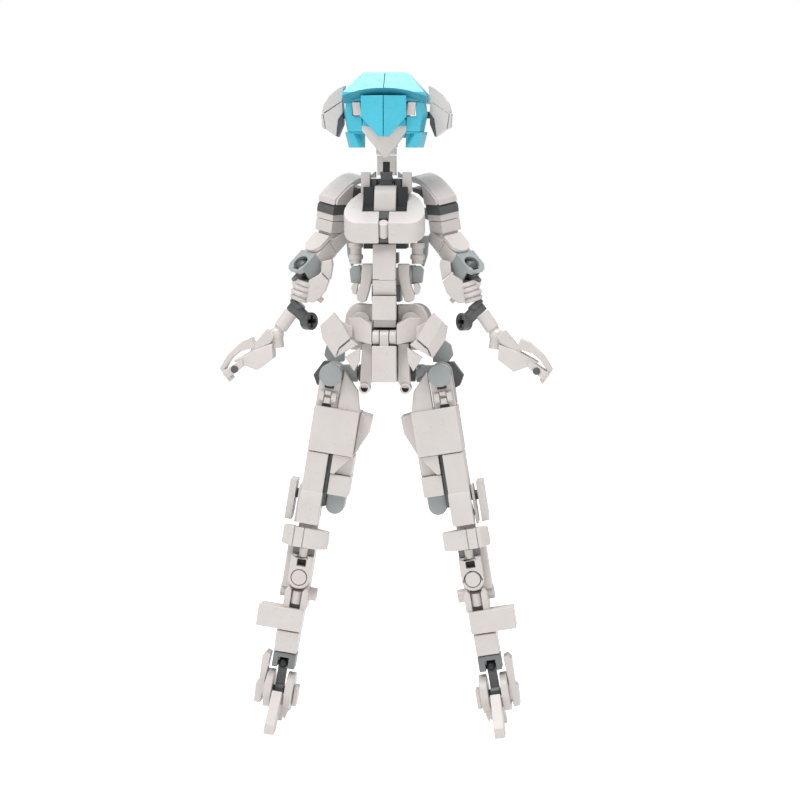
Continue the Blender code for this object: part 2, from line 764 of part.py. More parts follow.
def foot():
    frame = leg_frame()
    z = -FOOT_DOWN
    toe = [(-15.5, -103.0), (-15.5, -110.0), (-8.5, -110.0), (-3.2, -100.0), (-5.2, -97.0)]
    heel = [(3.2, -100.0), (5.2, -97.0), (13.5, -105.0), (13.5, -110.0), (9.5, -110.0)]
    guard = [(10.0, -98.4), (12.9, -97.0), (12.9, -84.0), (11.6, -79.6), (10.4, -80.4), (10.0, -88.0)]
    solids = [
        rod((0.2, 0, z), (3.35, 0, z), DISC_R, frame, 24),
        rod((7.15, 0, z), (10.3, 0, z), DISC_R, frame, 24),
        rod((1.0, 0, z), (9.5, 0, z), FOOT_PIN_R, frame),
        outline("YZ", toe, 3.0, 7.5, frame),
        outline("YZ", heel, 3.0, 7.5, frame),
        outline("XZ", guard, -3.6, 3.6, frame),
    ]
    ground = block((10.0, -30.0, -20.0), (70.0, 30.0, 0.0))
    return fuse(solids, [ground])


def world_point(frame, local):
    return tuple(frame @ Vector(local))


def mirrored(point, side):
    return (side * point[0], point[1], point[2])


def build_trunk():
    pelvis = empty("pelvis_origin", (0, 0, 0))
    finish("pelvis_core", pelvis_core(), DARK_GREY, pelvis)
    finish("pelvis_front", pelvis_front(), WHITE, pelvis)
    finish("pelvis_arch", pelvis_arch(), WHITE, pelvis)
    flap = empty("flap_origin", (0, FLAP_Y, FLAP_Z), pelvis)
    finish("front_flap", front_flap(), WHITE, flap)
    waist = empty("waist_origin", (0, WAIST_Y, WAIST_TOP), pelvis)
    finish("abdomen_core", abdomen_core(), DARK_GREY, waist)
    finish("abdomen_front", abdomen_front(), WHITE, waist)
    chest = empty("chest_origin", (0, 0, CHEST_HINGE_Z), waist)
    finish("chest_core", chest_core(), DARK_GREY, chest)
    finish("chest_front", chest_front(), WHITE, chest)
    finish("stomach_slope", stomach_slope(), WHITE, chest)
    finish("collar_yoke", collar_yoke(), WHITE, chest)
    neck_body = empty("neck_origin", (0, NECK_Y, NECK_Z), chest)
    finish("neck", neck(), DARK_GREY, neck_body)
    head = empty("head_origin", (0, NECK_Y, HEAD_PIVOT_Z), neck_body)
    finish("face", face(), WHITE, head)
    finish("hair_top", hair_top(), CYAN, head)
    finish("hair_fringe", hair_fringe(), CYAN, head)
    for side, mark in ((-1, "r"), (1, "l")):
        armour = empty("armour_origin_" + mark, (side * ARMOUR_PIVOT[0], ARMOUR_Y, ARMOUR_PIVOT[1]), pelvis)
        finish("side_armour_" + mark, side_armour(), WHITE, armour, side)
        finish("waist_arm_" + mark, waist_arm(), WHITE, waist, side)
        finish("breast_" + mark, breast(), WHITE, chest, side)
        finish("rib_" + mark, rib(), WHITE, chest, side)
        finish("hair_side_" + mark, hair_side(), CYAN, head, side)
        ear = empty("ear_origin_" + mark, mirrored(EAR_PIVOT, side), head)
        finish("ear_pod_" + mark, ear_pod(), WHITE, ear, side)
    return pelvis, chest


def build_arm(side, mark, chest):
    hub = empty("shoulder_origin_" + mark, (side * SHOULDER_SWING_X, SHOULDER_Y, SHOULDER_Z), chest)
    finish("shoulder_hub_" + mark, shoulder_hub(), LIGHT_GREY, hub, side)
    upper = empty("upper_arm_origin_" + mark, (side * RAISE_X, SHOULDER_Y, SHOULDER_Z), hub)
    finish("shoulder_armour_" + mark, shoulder_armour(), WHITE, upper, side)
    finish("arm_band_" + mark, arm_band(), DARK_GREY, upper, side)
    finish("upper_arm_" + mark, upper_arm(), WHITE, upper, side)
    finish("elbow_socket_" + mark, elbow_socket(), LIGHT_GREY, upper, side)
    elbow = mirrored(world_point(lower_frame(), (0, 0, -ELBOW_DOWN)), side)
    lower = empty("forearm_origin_" + mark, elbow, upper)
    finish("forearm_" + mark, forearm(), WHITE, lower, side)
    finish("wrist_connector_" + mark, wrist_connector(), DARK_GREY, lower, side)
    hand = empty("hand_origin_" + mark, mirrored(WRIST_TOP, side), lower)
    finish("palm_" + mark, palm(), WHITE, hand, side)
    tip = empty("fingers_origin_" + mark, (side * FINGER_PIVOT[0], HAND_Y, FINGER_PIVOT[1]), hand)
    finish("fingers_" + mark, fingers(), WHITE, tip, side)


def build_leg(side, mark, pelvis):
    frame = leg_frame()
    hub = empty("hip_origin_" + mark, (side * HIP_SWING_X, 0, HIP_Z), pelvis)
    finish("hip_hub_" + mark, hip_hub(), LIGHT_GREY, hub, side)
    upper = empty("thigh_origin_" + mark, (side * HIP_X, 0, HIP_Z), hub)
    finish("hip_tile_" + mark, hip_tile(), LIGHT_GREY, upper, side)
    finish("thigh_" + mark, thigh(), WHITE, upper, side)
    finish("thigh_core_" + mark, thigh_core(), DARK_GREY, upper, side)
    knee = mirrored(world_point(frame, (KNEE_X, 0, -KNEE_DOWN)), side)
    lower = empty("shin_origin_" + mark, knee, upper)
    finish("shin_" + mark, shin(), WHITE, lower, side)
    finish("ankle_socket_" + mark, ankle_socket(), LIGHT_GREY, lower, side)
    ankle = mirrored(world_point(frame, (ANKLE_X, 0, -ANKLE_DOWN)), side)
    link = empty("ankle_origin_" + mark, ankle, lower)
    finish("ankle_link_" + mark, ankle_link(), DARK_GREY, link, side)
    tilt = mirrored(world_point(frame, (ANKLE_X, 0, -FOOT_DOWN)), side)
    sole = empty("foot_origin_" + mark, tilt, link)
    finish("foot_" + mark, foot(), WHITE, sole, side)


clear_scene()
KIT = make_collection("humanoid_robot_kit")
pelvis_body, chest_body = build_trunk()
for arm_side, arm_mark in ((-1, "r"), (1, "l")):
    build_arm(arm_side, arm_mark, chest_body)
    build_leg(arm_side, arm_mark, pelvis_body)
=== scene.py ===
import json
import math

import bmesh
import bpy
from mathutils import Matrix, Vector


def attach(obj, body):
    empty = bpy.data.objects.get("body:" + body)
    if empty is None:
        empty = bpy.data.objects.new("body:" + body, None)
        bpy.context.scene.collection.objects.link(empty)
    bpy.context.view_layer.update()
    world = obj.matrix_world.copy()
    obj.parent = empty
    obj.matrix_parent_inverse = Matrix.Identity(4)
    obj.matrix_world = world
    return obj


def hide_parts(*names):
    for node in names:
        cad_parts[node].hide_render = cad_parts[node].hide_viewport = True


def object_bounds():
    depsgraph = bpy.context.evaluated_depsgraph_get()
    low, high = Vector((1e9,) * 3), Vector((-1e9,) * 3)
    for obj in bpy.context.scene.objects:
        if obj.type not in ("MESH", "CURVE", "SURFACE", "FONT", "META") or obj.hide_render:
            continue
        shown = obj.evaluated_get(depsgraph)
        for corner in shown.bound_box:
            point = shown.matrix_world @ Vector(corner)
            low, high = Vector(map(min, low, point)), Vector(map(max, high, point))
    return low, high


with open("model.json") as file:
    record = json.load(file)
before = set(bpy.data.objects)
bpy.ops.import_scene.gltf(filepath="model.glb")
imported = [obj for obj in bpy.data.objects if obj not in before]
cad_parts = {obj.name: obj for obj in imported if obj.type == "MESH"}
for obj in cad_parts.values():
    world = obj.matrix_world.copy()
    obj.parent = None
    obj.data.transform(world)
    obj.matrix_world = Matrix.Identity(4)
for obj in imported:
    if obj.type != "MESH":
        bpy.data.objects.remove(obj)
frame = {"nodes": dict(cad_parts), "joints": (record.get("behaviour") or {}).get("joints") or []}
CAD_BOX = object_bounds()

MM = 0.001

# Strengths: what the backdrop and the floor give the figure, and what the camera sees of them
SKY_LIGHT = 0.47
BACKDROP = 1.0
FLOOR_GLOW = 0.18
FLOOR_SHOWS = 0.75

# The camera: angles in degrees, lens and sensor in millimetres, the rest as a share of the figure's height
CAMERA_AZIMUTH = 4.5
CAMERA_ELEVATION = 5.0
LENS = 120
SENSOR = 36
VIEW_WIDTH = 1.215
TARGET_RIGHT = 0.0195
TARGET_UP = 0.507

# The floor, in metres
FLOOR_HALF = 3.0
FLOOR_GAP = 0.0002

# The plastic's surface: how fine its mottle, its flow marks and its grain are
MOTTLE_SCALE = 140.0
FLOW_SCALE = 420.0
GRAIN_SCALE = 900.0
GRAIN_STRENGTH = 0.12
GRAIN_HEIGHT = 0.00006
PLASTIC_IOR = 1.53

# Sizes that many pieces share, in millimetres
EDGE = 0.28
SEAM = 0.12
TILE_HALF = 3.95
STUD_R = 2.4
SOCKET_R = 2.45
PIN_R = 1.2

# Heights and places on the head and body, in millimetres
CROWN_TOP = 229.4
CROWN_RIM = 219.0
EAR_Z = 215.0
CHIN_TOP = 211.2
CHIN_FOLD = 209.4
CHIN_TIP = 200.4
NECK_Y = -0.5
NECK_HINGE_Z = 190.0
SHOULDER_X = 15.5
SHOULDER_Y = 10.4
SHOULDER_Z = 181.0
WAIST_HINGE_Z = 160.1
RIB_X = 10.7
RIB_Y = -2.0
FLAP_HINGE_Z = 138.9
FLAP_KNUCKLE_Y = -10.9
HIP_Z = 125.7
CROTCH_TUBE_X = 7.1
CROTCH_TUBE_Z = 121.1

# The shoulder armour's side view, in the upper arm's frame
ARMOUR_FRONT = -4.0
ARMOUR_BACK = 10.4
ARMOUR_LENGTH = 14.4
ARMOUR_TOP = 9.8
ARMOUR_DROP = 7.7

# Places and sizes in the leg's own frame, in millimetres
LEG_LATERAL_AT_KNEE = 4.0
LEG_UP_AT_KNEE = -30.0
HIP_TILE_X = 4.0
HIP_TILE_Z = 19.7
HIP_KNUCKLE_Z = 12.0
SHIN_RING_X = 4.05
SHIN_RING_Z = -52.4
SHIN_AXLE_Z = -58.5
SHIN_AXLE_R = 2.4
FOOT_AXLE_Z = -94.0
FOOT_DISC_R = 6.9
SOLE_Z = -107.6

# Angles of the arm and the chest, in degrees
ARM_TWIST = 39.0
ARM_LEAN = 8.0
ELBOW_TILT = 36.0
LOWER_LEAN = -32.0
LOWER_TWIST = 30.0
BREAST_TILT = 39.0

# The least angle between two faces, in degrees, that gets a moulded edge
SHARP = 32

# How far down the lower arm's frame the elbow is, in millimetres
ELBOW_DOWN = 9.0

# How far forward a breast wall moves for each mm down, in the breast's own tilted frame
WALL_LEAN = 0.5

WORLD = Matrix.Identity(4)
JOINTS = {joint["name"]: joint for joint in frame["joints"]}


# Places, in millimetres


def hinge(name):
    return Vector(JOINTS[name]["pos_m"]) / MM


def turn(axis, degrees):
    return Matrix.Rotation(math.radians(degrees), 4, axis)


def shift(x, y, z):
    return Matrix.Translation(Vector((x, y, z)))


def leg_frame():
    """X out across the left leg, Y back, Z up the leg, from the middle of the thigh panel."""
    knee = hinge("knee_l")
    up = (hinge("hip_raise_l") - knee).normalized()
    lateral = Vector(JOINTS["knee_l"]["axis"]).normalized()
    place = Matrix((lateral, up.cross(lateral), up)).transposed().to_4x4()
    place.translation = knee - up * LEG_UP_AT_KNEE - lateral * LEG_LATERAL_AT_KNEE
    return place


def lower_arm_frame():
    """X out across the lower part of the upper arm, -Y to its front face, -Z down to the elbow."""
    turned = turn("X", LOWER_LEAN) @ turn("Y", -ELBOW_TILT) @ turn("Z", LOWER_TWIST)
    return Matrix.Translation(hinge("elbow_l")) @ turned @ shift(0, 0, ELBOW_DOWN)


def upper_arm_frame():
    turned = turn("X", ARM_LEAN) @ turn("Y", -ARM_LEAN) @ turn("Z", ARM_TWIST)
    return Matrix.Translation(hinge("shoulder_raise_l") + Vector((3.2, -7.4, 3.7))) @ turned


LEG = leg_frame()
LOW_ARM = lower_arm_frame()
ARM = upper_arm_frame()
HAND_Y = hinge("finger_open_l").y
BREAST = shift(0, -4.0, 188.2) @ turn("X", BREAST_TILT)


# Shapes: each returns a closed bmesh in its own frame


def cube(low, high):
    size = [high[i] - low[i] for i in range(3)]
    middle = [(high[i] + low[i]) / 2 for i in range(3)]
    bm = bmesh.new()
    bmesh.ops.create_cube(bm, size=1.0, matrix=shift(*middle) @ Matrix.Diagonal((*size, 1.0)))
    return bm


def cylinder(start, end, radius, sides=40):
    a = Vector(start)
    b = Vector(end)
    along = (b - a).to_track_quat("Z", "Y").to_matrix().to_4x4()
    bm = bmesh.new()
    bmesh.ops.create_cone(
        bm,
        cap_ends=True,
        segments=sides,
        radius1=radius,
        radius2=radius,
        depth=(b - a).length,
        matrix=Matrix.Translation((a + b) / 2) @ along,
    )
    return bm


def ball(centre, radius):
    bm = bmesh.new()
    bmesh.ops.create_uvsphere(bm, u_segments=32, v_segments=20, radius=radius, matrix=shift(*centre))
    return bm


def hull(points):
    bm = bmesh.new()
    for point in points:
        bm.verts.new(point)
    made = bmesh.ops.convex_hull(bm, input=bm.verts)
    inner = [v for v in made["geom_interior"] if isinstance(v, bmesh.types.BMVert)]
    bmesh.ops.delete(bm, geom=inner, context="VERTS")
    bmesh.ops.dissolve_limit(bm, angle_limit=math.radians(1), verts=bm.verts, edges=bm.edges)
    return bm


def prism(plane, outline, low, high):
    """An outline in the XY, XZ or YZ plane, extended along the third axis."""
    place = {
        "XY": lambda u, v, w: (u, v, w),
        "XZ": lambda u, v, w: (u, w, v),
        "YZ": lambda u, v, w: (w, u, v),
    }[plane]
    bm = bmesh.new()
    base = [bm.verts.new(place(u, v, low)) for u, v in outline]
    top = [bm.verts.new(place(u, v, high)) for u, v in outline]
    bm.faces.new(base)
    bm.faces.new(reversed(top))
    count = len(outline)
    for i in range(count):
        j = (i + 1) % count
        bm.faces.new((base[i], top[i], top[j], base[j]))
    bmesh.ops.recalc_face_normals(bm, faces=bm.faces)
    return bm


def loft(front, near, back, far):
    """A closed body between two XZ outlines with the same number of points."""
    bm = bmesh.new()
    base = [bm.verts.new((u, near, v)) for u, v in front]
    top = [bm.verts.new((u, far, v)) for u, v in back]
    bm.faces.new(base)
    bm.faces.new(reversed(top))
    count = len(front)
    for i in range(count):
        j = (i + 1) % count
        bm.faces.new((base[i], top[i], top[j], base[j]))
    bmesh.ops.recalc_face_normals(bm, faces=bm.faces)
    return bm


def arc(centre, radius, start, end, steps=12):
    """Points along a circle, from one angle in degrees to another."""
    points = []
    for i in range(steps + 1):
        angle = math.radians(start + (end - start) * i / steps)
        points.append((centre[0] + radius * math.cos(angle), centre[1] + radius * math.sin(angle)))
    return points


# Materials


def noise(tree, coords, scale, detail):
    node = tree.nodes.new("ShaderNodeTexNoise")
    node.inputs["Scale"].default_value = scale
    node.inputs["Detail"].default_value = detail
    tree.links.new(coords, node.inputs["Vector"])
    return node.outputs["Fac"]


def spread(tree, value, low, high):
    node = tree.nodes.new("ShaderNodeMapRange")
    node.inputs["From Min"].default_value = 0.3
    node.inputs["From Max"].default_value = 0.7
    node.inputs["To Min"].default_value = low
    node.inputs["To Max"].default_value = high
    tree.links.new(value, node.inputs["Value"])
    return node.outputs["Result"]


def plastic(name, color, shade, roughness, scatter):
    """Moulded ABS: a faint mottle, flow marks in the gloss and a very fine grain."""
    material = bpy.data.materials.new(name)
    material.use_nodes = True
    tree = material.node_tree
    shader = tree.nodes["Principled BSDF"]
    coords = tree.nodes.new("ShaderNodeTexCoord").outputs["Object"]
    mottle = spread(tree, noise(tree, coords, MOTTLE_SCALE, 3.0), 0.0, 1.0)
    mix = tree.nodes.new("ShaderNodeMix")
    mix.data_type = "RGBA"
    mix.inputs["A"].default_value = (*color, 1.0)
    mix.inputs["B"].default_value = (*shade, 1.0)
    tree.links.new(mottle, mix.inputs["Factor"])
    tree.links.new(mix.outputs["Result"], shader.inputs["Base Color"])
    flow = spread(tree, noise(tree, coords, FLOW_SCALE, 4.0), roughness - 0.05, roughness + 0.09)
    tree.links.new(flow, shader.inputs["Roughness"])
    bump = tree.nodes.new("ShaderNodeBump")
    bump.inputs["Strength"].default_value = GRAIN_STRENGTH
    bump.inputs["Distance"].default_value = GRAIN_HEIGHT
    tree.links.new(noise(tree, coords, GRAIN_SCALE, 5.0), bump.inputs["Height"])
    tree.links.new(bump.outputs["Normal"], shader.inputs["Normal"])
    shader.inputs["IOR"].default_value = PLASTIC_IOR
    shader.inputs["Subsurface Weight"].default_value = scatter
    shader.inputs["Subsurface Radius"].default_value = (0.8, 0.7, 0.65)
    shader.inputs["Subsurface Scale"].default_value = 0.0008
    return material


WHITE = plastic("white_plastic", (0.70, 0.655, 0.63), (0.665, 0.62, 0.595), 0.30, 0.08)
CYAN = plastic("cyan_plastic", (0.085, 0.58, 0.74), (0.07, 0.53, 0.69), 0.24, 0.06)
LIGHT = plastic("light_grey_plastic", (0.365, 0.395, 0.40), (0.335, 0.365, 0.37), 0.32, 0.0)
DARK = plastic("dark_grey_plastic", (0.105, 0.11, 0.112), (0.09, 0.094, 0.096), 0.34, 0.0)
MIDDLE = plastic("middle_grey_plastic", (0.22, 0.232, 0.236), (0.195, 0.206, 0.21), 0.33, 0.0)
# Darker cyan painted shade, for the brim's downward-facing lip and the skull seen between the hair pieces
SHADOW_CYAN = plastic("painted_shade_cyan_plastic", (0.05, 0.33, 0.44), (0.04, 0.29, 0.40), 0.34, 0.0)
# Near-black painted shade: sheets and fillers put in recesses, slots, holes, gaps and under the breasts,
# where only shade is seen
PAINTED_SHADE = plastic("shadow_plastic", (0.022, 0.024, 0.026), (0.018, 0.02, 0.022), 0.42, 0.0)


# Pieces


def to_mesh(bm, name, matrix):
    bmesh.ops.transform(bm, matrix=matrix, verts=bm.verts)
    bmesh.ops.recalc_face_normals(bm, faces=bm.faces)
    mesh = bpy.data.meshes.new(name)
    bm.to_mesh(mesh)
    bm.free()
    return mesh


def add_object(mesh, name):
    obj = bpy.data.objects.new(name, mesh)
    bpy.context.scene.collection.objects.link(obj)
    return obj


def carve(obj, other, operation):
    modifier = obj.modifiers.new("carve", "BOOLEAN")
    modifier.operation = operation
    modifier.solver = "EXACT"
    modifier.object = other
    graph = bpy.context.evaluated_depsgraph_get()
    mesh = bpy.data.meshes.new_from_object(obj.evaluated_get(graph))
    obj.modifiers.clear()
    obj.data = mesh
    bpy.data.objects.remove(other)


def soften(obj, edge):
    weld = obj.modifiers.new("weld", "WELD")
    weld.merge_threshold = 0.000004
    bevel = obj.modifiers.new("edge", "BEVEL")
    bevel.width = edge * MM
    bevel.segments = 3
    bevel.limit_method = "ANGLE"
    bevel.angle_limit = math.radians(SHARP)
    bevel.harden_normals = True


def brick(name, body, shape, look, place=WORLD, edge=EDGE, add=(), cut=(), replaces=(), side=1):
    """One moulded piece that rides on a body. Everything in add is part of it, and cut is taken out."""
    matrix = Matrix.Diagonal((side * MM, MM, MM, 1.0)) @ place
    obj = add_object(to_mesh(shape, name, matrix), name)
    for operation, shapes in (("UNION", add), ("DIFFERENCE", cut)):
        for other in shapes:
            carve(obj, add_object(to_mesh(other, "cutter", matrix), "cutter"), operation)
    obj.data.materials.clear()
    obj.data.materials.append(look)
    obj.data.shade_smooth()
    obj.data.set_sharp_from_angle(angle=math.radians(SHARP))
    if edge:
        soften(obj, edge)
    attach(obj, body)
    if replaces:
        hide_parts(*replaces)
    return obj


def pair(name, body, shape, look, place=WORLD, edge=EDGE, add=(), cut=(), replaces=(), sided=True):
    """The same piece on the left and, mirrored, on the right. A sided body has one body for each side."""
    for side, mark in ((1, "l"), (-1, "r")):
        brick(
            f"{name}_{mark}",
            f"{body}_{mark}" if sided else body,
            shape.copy(),
            look,
            place,
            edge,
            [other.copy() for other in add],
            [other.copy() for other in cut],
            [f"{node}_{mark}" for node in replaces],
            side,
        )


def keep(node, look, edge=0.2):
    """A CAD node whose shape is right: it gets a moulded edge and its material."""
    obj = frame["nodes"][node]
    obj.data.materials.clear()
    obj.data.materials.append(look)
    weld = obj.modifiers.new("weld", "WELD")
    weld.merge_threshold = 0.00002
    flat = obj.modifiers.new("flat", "DECIMATE")
    flat.decimate_type = "DISSOLVE"
    flat.angle_limit = math.radians(0.5)
    bevel = obj.modifiers.new("edge", "BEVEL")
    bevel.width = edge * MM
    bevel.segments = 2
    bevel.limit_method = "ANGLE"
    bevel.angle_limit = math.radians(35)
    bevel.harden_normals = True


# Head


def make_hair():
    brim_radius = 39.3
    crown = [(x, -8.8, CROWN_TOP) for x in (SEAM, 7.4)] + [(x, 7.6, CROWN_TOP) for x in (SEAM, 7.4)]
    crown += [(x, -15.8, 222.6) for x in (SEAM, 13.8)] + [(x, -15.8, CROWN_RIM) for x in (SEAM, 13.8)]
    crown += [(14.1, y, z) for y in (-12.0, 12.8) for z in (CROWN_RIM, 221.9)]
    crown += [(SEAM, 13.2, z) for z in (CROWN_RIM, 221.9)]
    rim = arc((0.0, 184.6), brim_radius, 68.0, 90.6, 14)
    under = prism("XZ", [(-0.4, 217.0), (14.9, 217.0), (14.9, 221.0)] + rim, -17, -9.0)
    pair("hair_crown", "head", hull(crown), CYAN, edge=0.22, cut=[under], sided=False)
    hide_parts("hair_top")
    edge = arc((0.0, 184.45), brim_radius, 69.4, 110.6, 24)
    band = [(-13.9, 219.4), (13.9, 219.4)] + edge
    upper = [(x * 0.97, z) for x, z in band]
    brick("hair_brim", "head", loft(upper, -12.6, band, 12.9), CYAN, edge=0.2)
    lip_top = [(x, z + 0.3) for x, z in reversed(edge)]
    lip = loft(edge + lip_top, -15.6, [(x, z - 2.6) for x, z in edge] + lip_top, -12.2)
    # The brim's lip gets the darker cyan as painted shade on its downward-facing face
    brick("hair_lip", "head", lip, SHADOW_CYAN, edge=0.05)
    half = [(SEAM, -15.9, 221.4), (7.75, -15.0, 221.4), (7.75, -15.0, 214.2)]
    half += [(1.7, -15.6, 207.5), (SEAM, -15.8, 207.5)]
    half += [(x, -14.7 if z > 220 else -12.7, z) for x, _, z in half]
    pair("hair_fringe", "head", hull(half), CYAN, edge=0.2, sided=False)
    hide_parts("hair_fringe")
    inner = [(7.4, 213.4), (7.4, 210.6), (2.4, 208.8), (2.4, 213.0)]
    pair("hair_inner", "head", prism("XZ", inner, -12.5, -10.5), CYAN, edge=0.2, sided=False)
    front = [(10.9, 219.2), (13.0, 219.2), (13.1, 215.2), (12.2, 209.2)]
    front += [(7.4, 209.2), (7.7, 214.3), (10.9, 214.5)]
    bowed = {215.2: 14.4, 219.2: 13.8}
    back = [(bowed.get(z, x + 1.0) if x > 11 else x + 0.4, z) for x, z in front]
    lock = loft(front, -12.4, back, -5.0)
    pair("hair_side", "head", lock, CYAN, edge=0.25, replaces=("hair_side",), sided=False)
    rear = loft(back, -4.8, [(x - 0.5, z) for x, z in front], 12.4)
    pair("hair_side_rear", "head", rear, CYAN, edge=0.25, sided=False)
    low = [(7.0, 209.15), (12.7, 209.15), (11.4, 203.8), (7.0, 203.8)]
    dent = hull([(6.0, -13.4, 208.6), (11.4, -13.4, 208.6), (8.6, -13.4, 203.0), (6.0, -13.4, 203.0),
                 (6.0, -8.6, 208.6), (9.0, -8.6, 208.6), (6.0, -8.6, 203.0)])
    lower = loft(low, -11.8, [(x + (1.6 if x > 9 else 0.3), z) for x, z in low], -3.0)
    pair("hair_lock", "head", lower, CYAN, edge=0.25, cut=[dent], sided=False)
    nape = [(3.6, 219.2), (12.8, 219.2)] + arc((2.0, 212.0), 11.6, 20, -24, 8) + [(3.6, 207.3)]
    pair("hair_back", "head", prism("YZ", nape, SEAM, 7.2), CYAN, edge=0.35, sided=False)


def make_face():
    skull = cube((-6.8, -10.4, 210.6), (6.8, 3.3, 219.1))
    neck_plug = cube((-3.4, -4.6, 203.9), (3.4, 3.3, 211.0))
    # The skull gets the darker cyan as painted shade where it shows between the hair pieces and behind the
    # chin
    skull = brick("skull", "head", skull, SHADOW_CYAN, edge=0.3, add=[neck_plug])
    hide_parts("face")
    lean = 0.12
    temple = hull([(x + (z - 217) * lean, y, z)
                   for x in (7.9, 10.7) for y in (-13.3, -11.0) for z in (214.7, 219.2)])
    pair("temple", "head", temple, WHITE, edge=0.2, sided=False)
    chin = [(x, -12.6, z) for x in (-7.6, 7.6) for z in (CHIN_TOP, CHIN_FOLD)]
    chin += [(x, -7.2, CHIN_TIP) for x in (-0.6, 0.6)]
    rear = [(-7.6, CHIN_TOP), (7.6, CHIN_TOP), (7.6, CHIN_FOLD), (-7.6, CHIN_FOLD)]
    rear += [(0.6, CHIN_TIP), (-0.6, CHIN_TIP)]
    chin += [(x, -5.4, z) for x, z in rear]
    brick("face_wedge", "head", hull(chin), WHITE, edge=0.25)
    brick("jaw", "head", cube((-3.2, -7.0, 201.4), (3.2, 2.6, 203.7)), WHITE, edge=0.3)


def make_ear_pods():
    shell = [(14.5, 225.2), (17.0, 224.0), (19.8, 221.6), (21.6, 218.6)]
    shell += [(22.3, 216.0), (21.9, 215.5), (15.2, 219.8)]
    pair("ear_tile", "ear", prism("XZ", shell, -4.0, 4.0), WHITE, edge=0.3, replaces=("ear_pod",))
    pod = [(15.2, 219.6), (21.7, 215.3), (20.9, 210.2), (17.3, 207.6), (16.6, 213.4), (15.0, 215.8)]
    pair("ear_block", "ear", prism("XZ", pod, -3.95, 3.95), WHITE, edge=0.25)
    strip = [(21.85, 215.3), (22.5, 215.6), (22.2, 210.7), (21.05, 210.1)]
    pair("ear_edge", "ear", prism("XZ", strip, -3.95, 3.95), WHITE, edge=0.25)
    # Dark grey painted shade on the pod block's inner face, which is shaded white
    inner = [(15.0, 215.6), (17.0, 213.6), (17.4, 208.0), (16.8, 207.4), (15.0, 211.9)]
    pair("ear_inner_shade", "ear", prism("XZ", inner, -3.5, 3.5), DARK, edge=0.25)
    pin = cylinder((12.6, 0, EAR_Z), (15.6, 0, EAR_Z), PIN_R)
    pair("ear_pin", "head", pin, DARK, edge=0.1, sided=False)


def make_neck():
    post = cube((-3.15, -3.2, 194.3), (3.15, 2.2, 201.1))
    slot = cube((-1.2, -4.4, 195.4), (1.2, -0.8, 199.0))
    groove = cube((-2.1, -4.4, 194.0), (2.1, -2.4, 195.6))
    brick("neck_post", "neck", post, WHITE, edge=0.3, cut=[slot, groove], replaces=["neck"])
    # Near-black painted shade at the bottom of the neck slot
    brick("neck_recess", "neck", cube((-1.15, -2.5, 195.5), (1.15, -1.9, 198.9)), PAINTED_SHADE, edge=0.02)
    hub = cylinder((-2.5, NECK_Y, NECK_HINGE_Z), (2.5, NECK_Y, NECK_HINGE_Z), 2.5)
    stem = cube((-1.9, -3.0, NECK_HINGE_Z), (1.9, 1.6, 193.8))
    brick("neck_hub", "neck", hub, DARK, edge=0.2, add=[stem])
    brick("neck_clip", "neck", cube((-2.0, -3.4, 192.6), (2.0, -2.0, 195.3)), DARK, edge=0.15)


# Torso


def make_chest():
    core = cube((-7.0, -3.2, 176.0), (7.0, 5.4, 186.6))
    studs = [cylinder((x, 1.1, 186.0), (x, 1.1, 188.2), STUD_R) for x in (-4.0, 4.0)]
    brick("chest_core_brick", "chest", core, DARK, edge=0.25, add=studs, replaces=["chest_core"])
    # Near-black bar as painted shade under the breasts
    brick("chest_lower_plate", "chest", cube((-7.4, -9.6, 169.2), (7.4, 2.0, 171.8)), PAINTED_SHADE, edge=0.2)
    brick("chest_inner_brick", "chest", cube((-6.4, -6.0, 171.3), (6.4, 4.6, 175.7)), DARK, edge=0.25)
    holes = [cylinder((x, 20.0, SHOULDER_Z), (x, 9.0, SHOULDER_Z), SOCKET_R) for x in (-4.4, 4.4)]
    rings = [cylinder((x, 20.0, SHOULDER_Z), (x, 13.0, SHOULDER_Z), 3.0) for x in (-4.4, 4.4)]
    beam = cube((-8.9, 5.8, 177.6), (8.9, 13.4, 184.4))
    brick("shoulder_beam", "chest", beam, DARK, edge=0.4, cut=holes + rings)
    brick("spine_brick", "chest", cube((-3.9, -2.4, 163.9), (3.9, 5.2, 167.6)), DARK, edge=0.25)
    # Near-black painted shade in the recesses beside the collar
    pair("chest_recess", "chest", cube((4.1, -7.6, 178.0), (7.6, -3.5, 190.4)), PAINTED_SHADE, edge=0.2, sided=False)
    pair("neck_ear", "chest", cube((3.4, -3.0, 186.8), (5.3, 2.3, 193.2)), DARK, edge=0.3, sided=False)
    wing = [(3.9, 193.5), (5.4, 193.5), (5.4, 194.4), (3.9, 195.6)]
    pair("neck_wing", "chest", prism("XZ", wing, -3.0, 2.3), LIGHT, edge=0.15, sided=False)
    slope = [(-4.2, 181.9), (-9.8, 181.9), (-9.8, 183.2), (-8.4, 188.0)]
    slope += [(-7.6, 189.6), (-6.2, 190.6), (-4.2, 190.9)]
    front = prism("YZ", slope, -3.8, 3.8)
    brick("chest_slope", "chest", front, WHITE, edge=0.45, replaces=["chest_front"])


def breast_outline():
    """Half of a ring with a rounded outside and a square opening, narrow where it meets the chest."""
    back = [(8.3, 0.4), (10.2, -0.9), (11.9, -3.0), (13.1, -5.6), (13.8, -8.2)]
    corner = []
    steps = 12
    fullness = 0.85
    for step in range(steps + 1):
        angle = math.radians(90 * step / steps)
        out = max(math.cos(angle), 0.0) ** fullness
        ahead = math.sin(angle) ** fullness
        corner.append((7.6 + 6.3 * out, -9.6 - 6.4 * ahead))
    return back + corner + [(1.65, -16.0), (1.65, -9.6), (7.6, -9.6), (7.6, 0.4)]


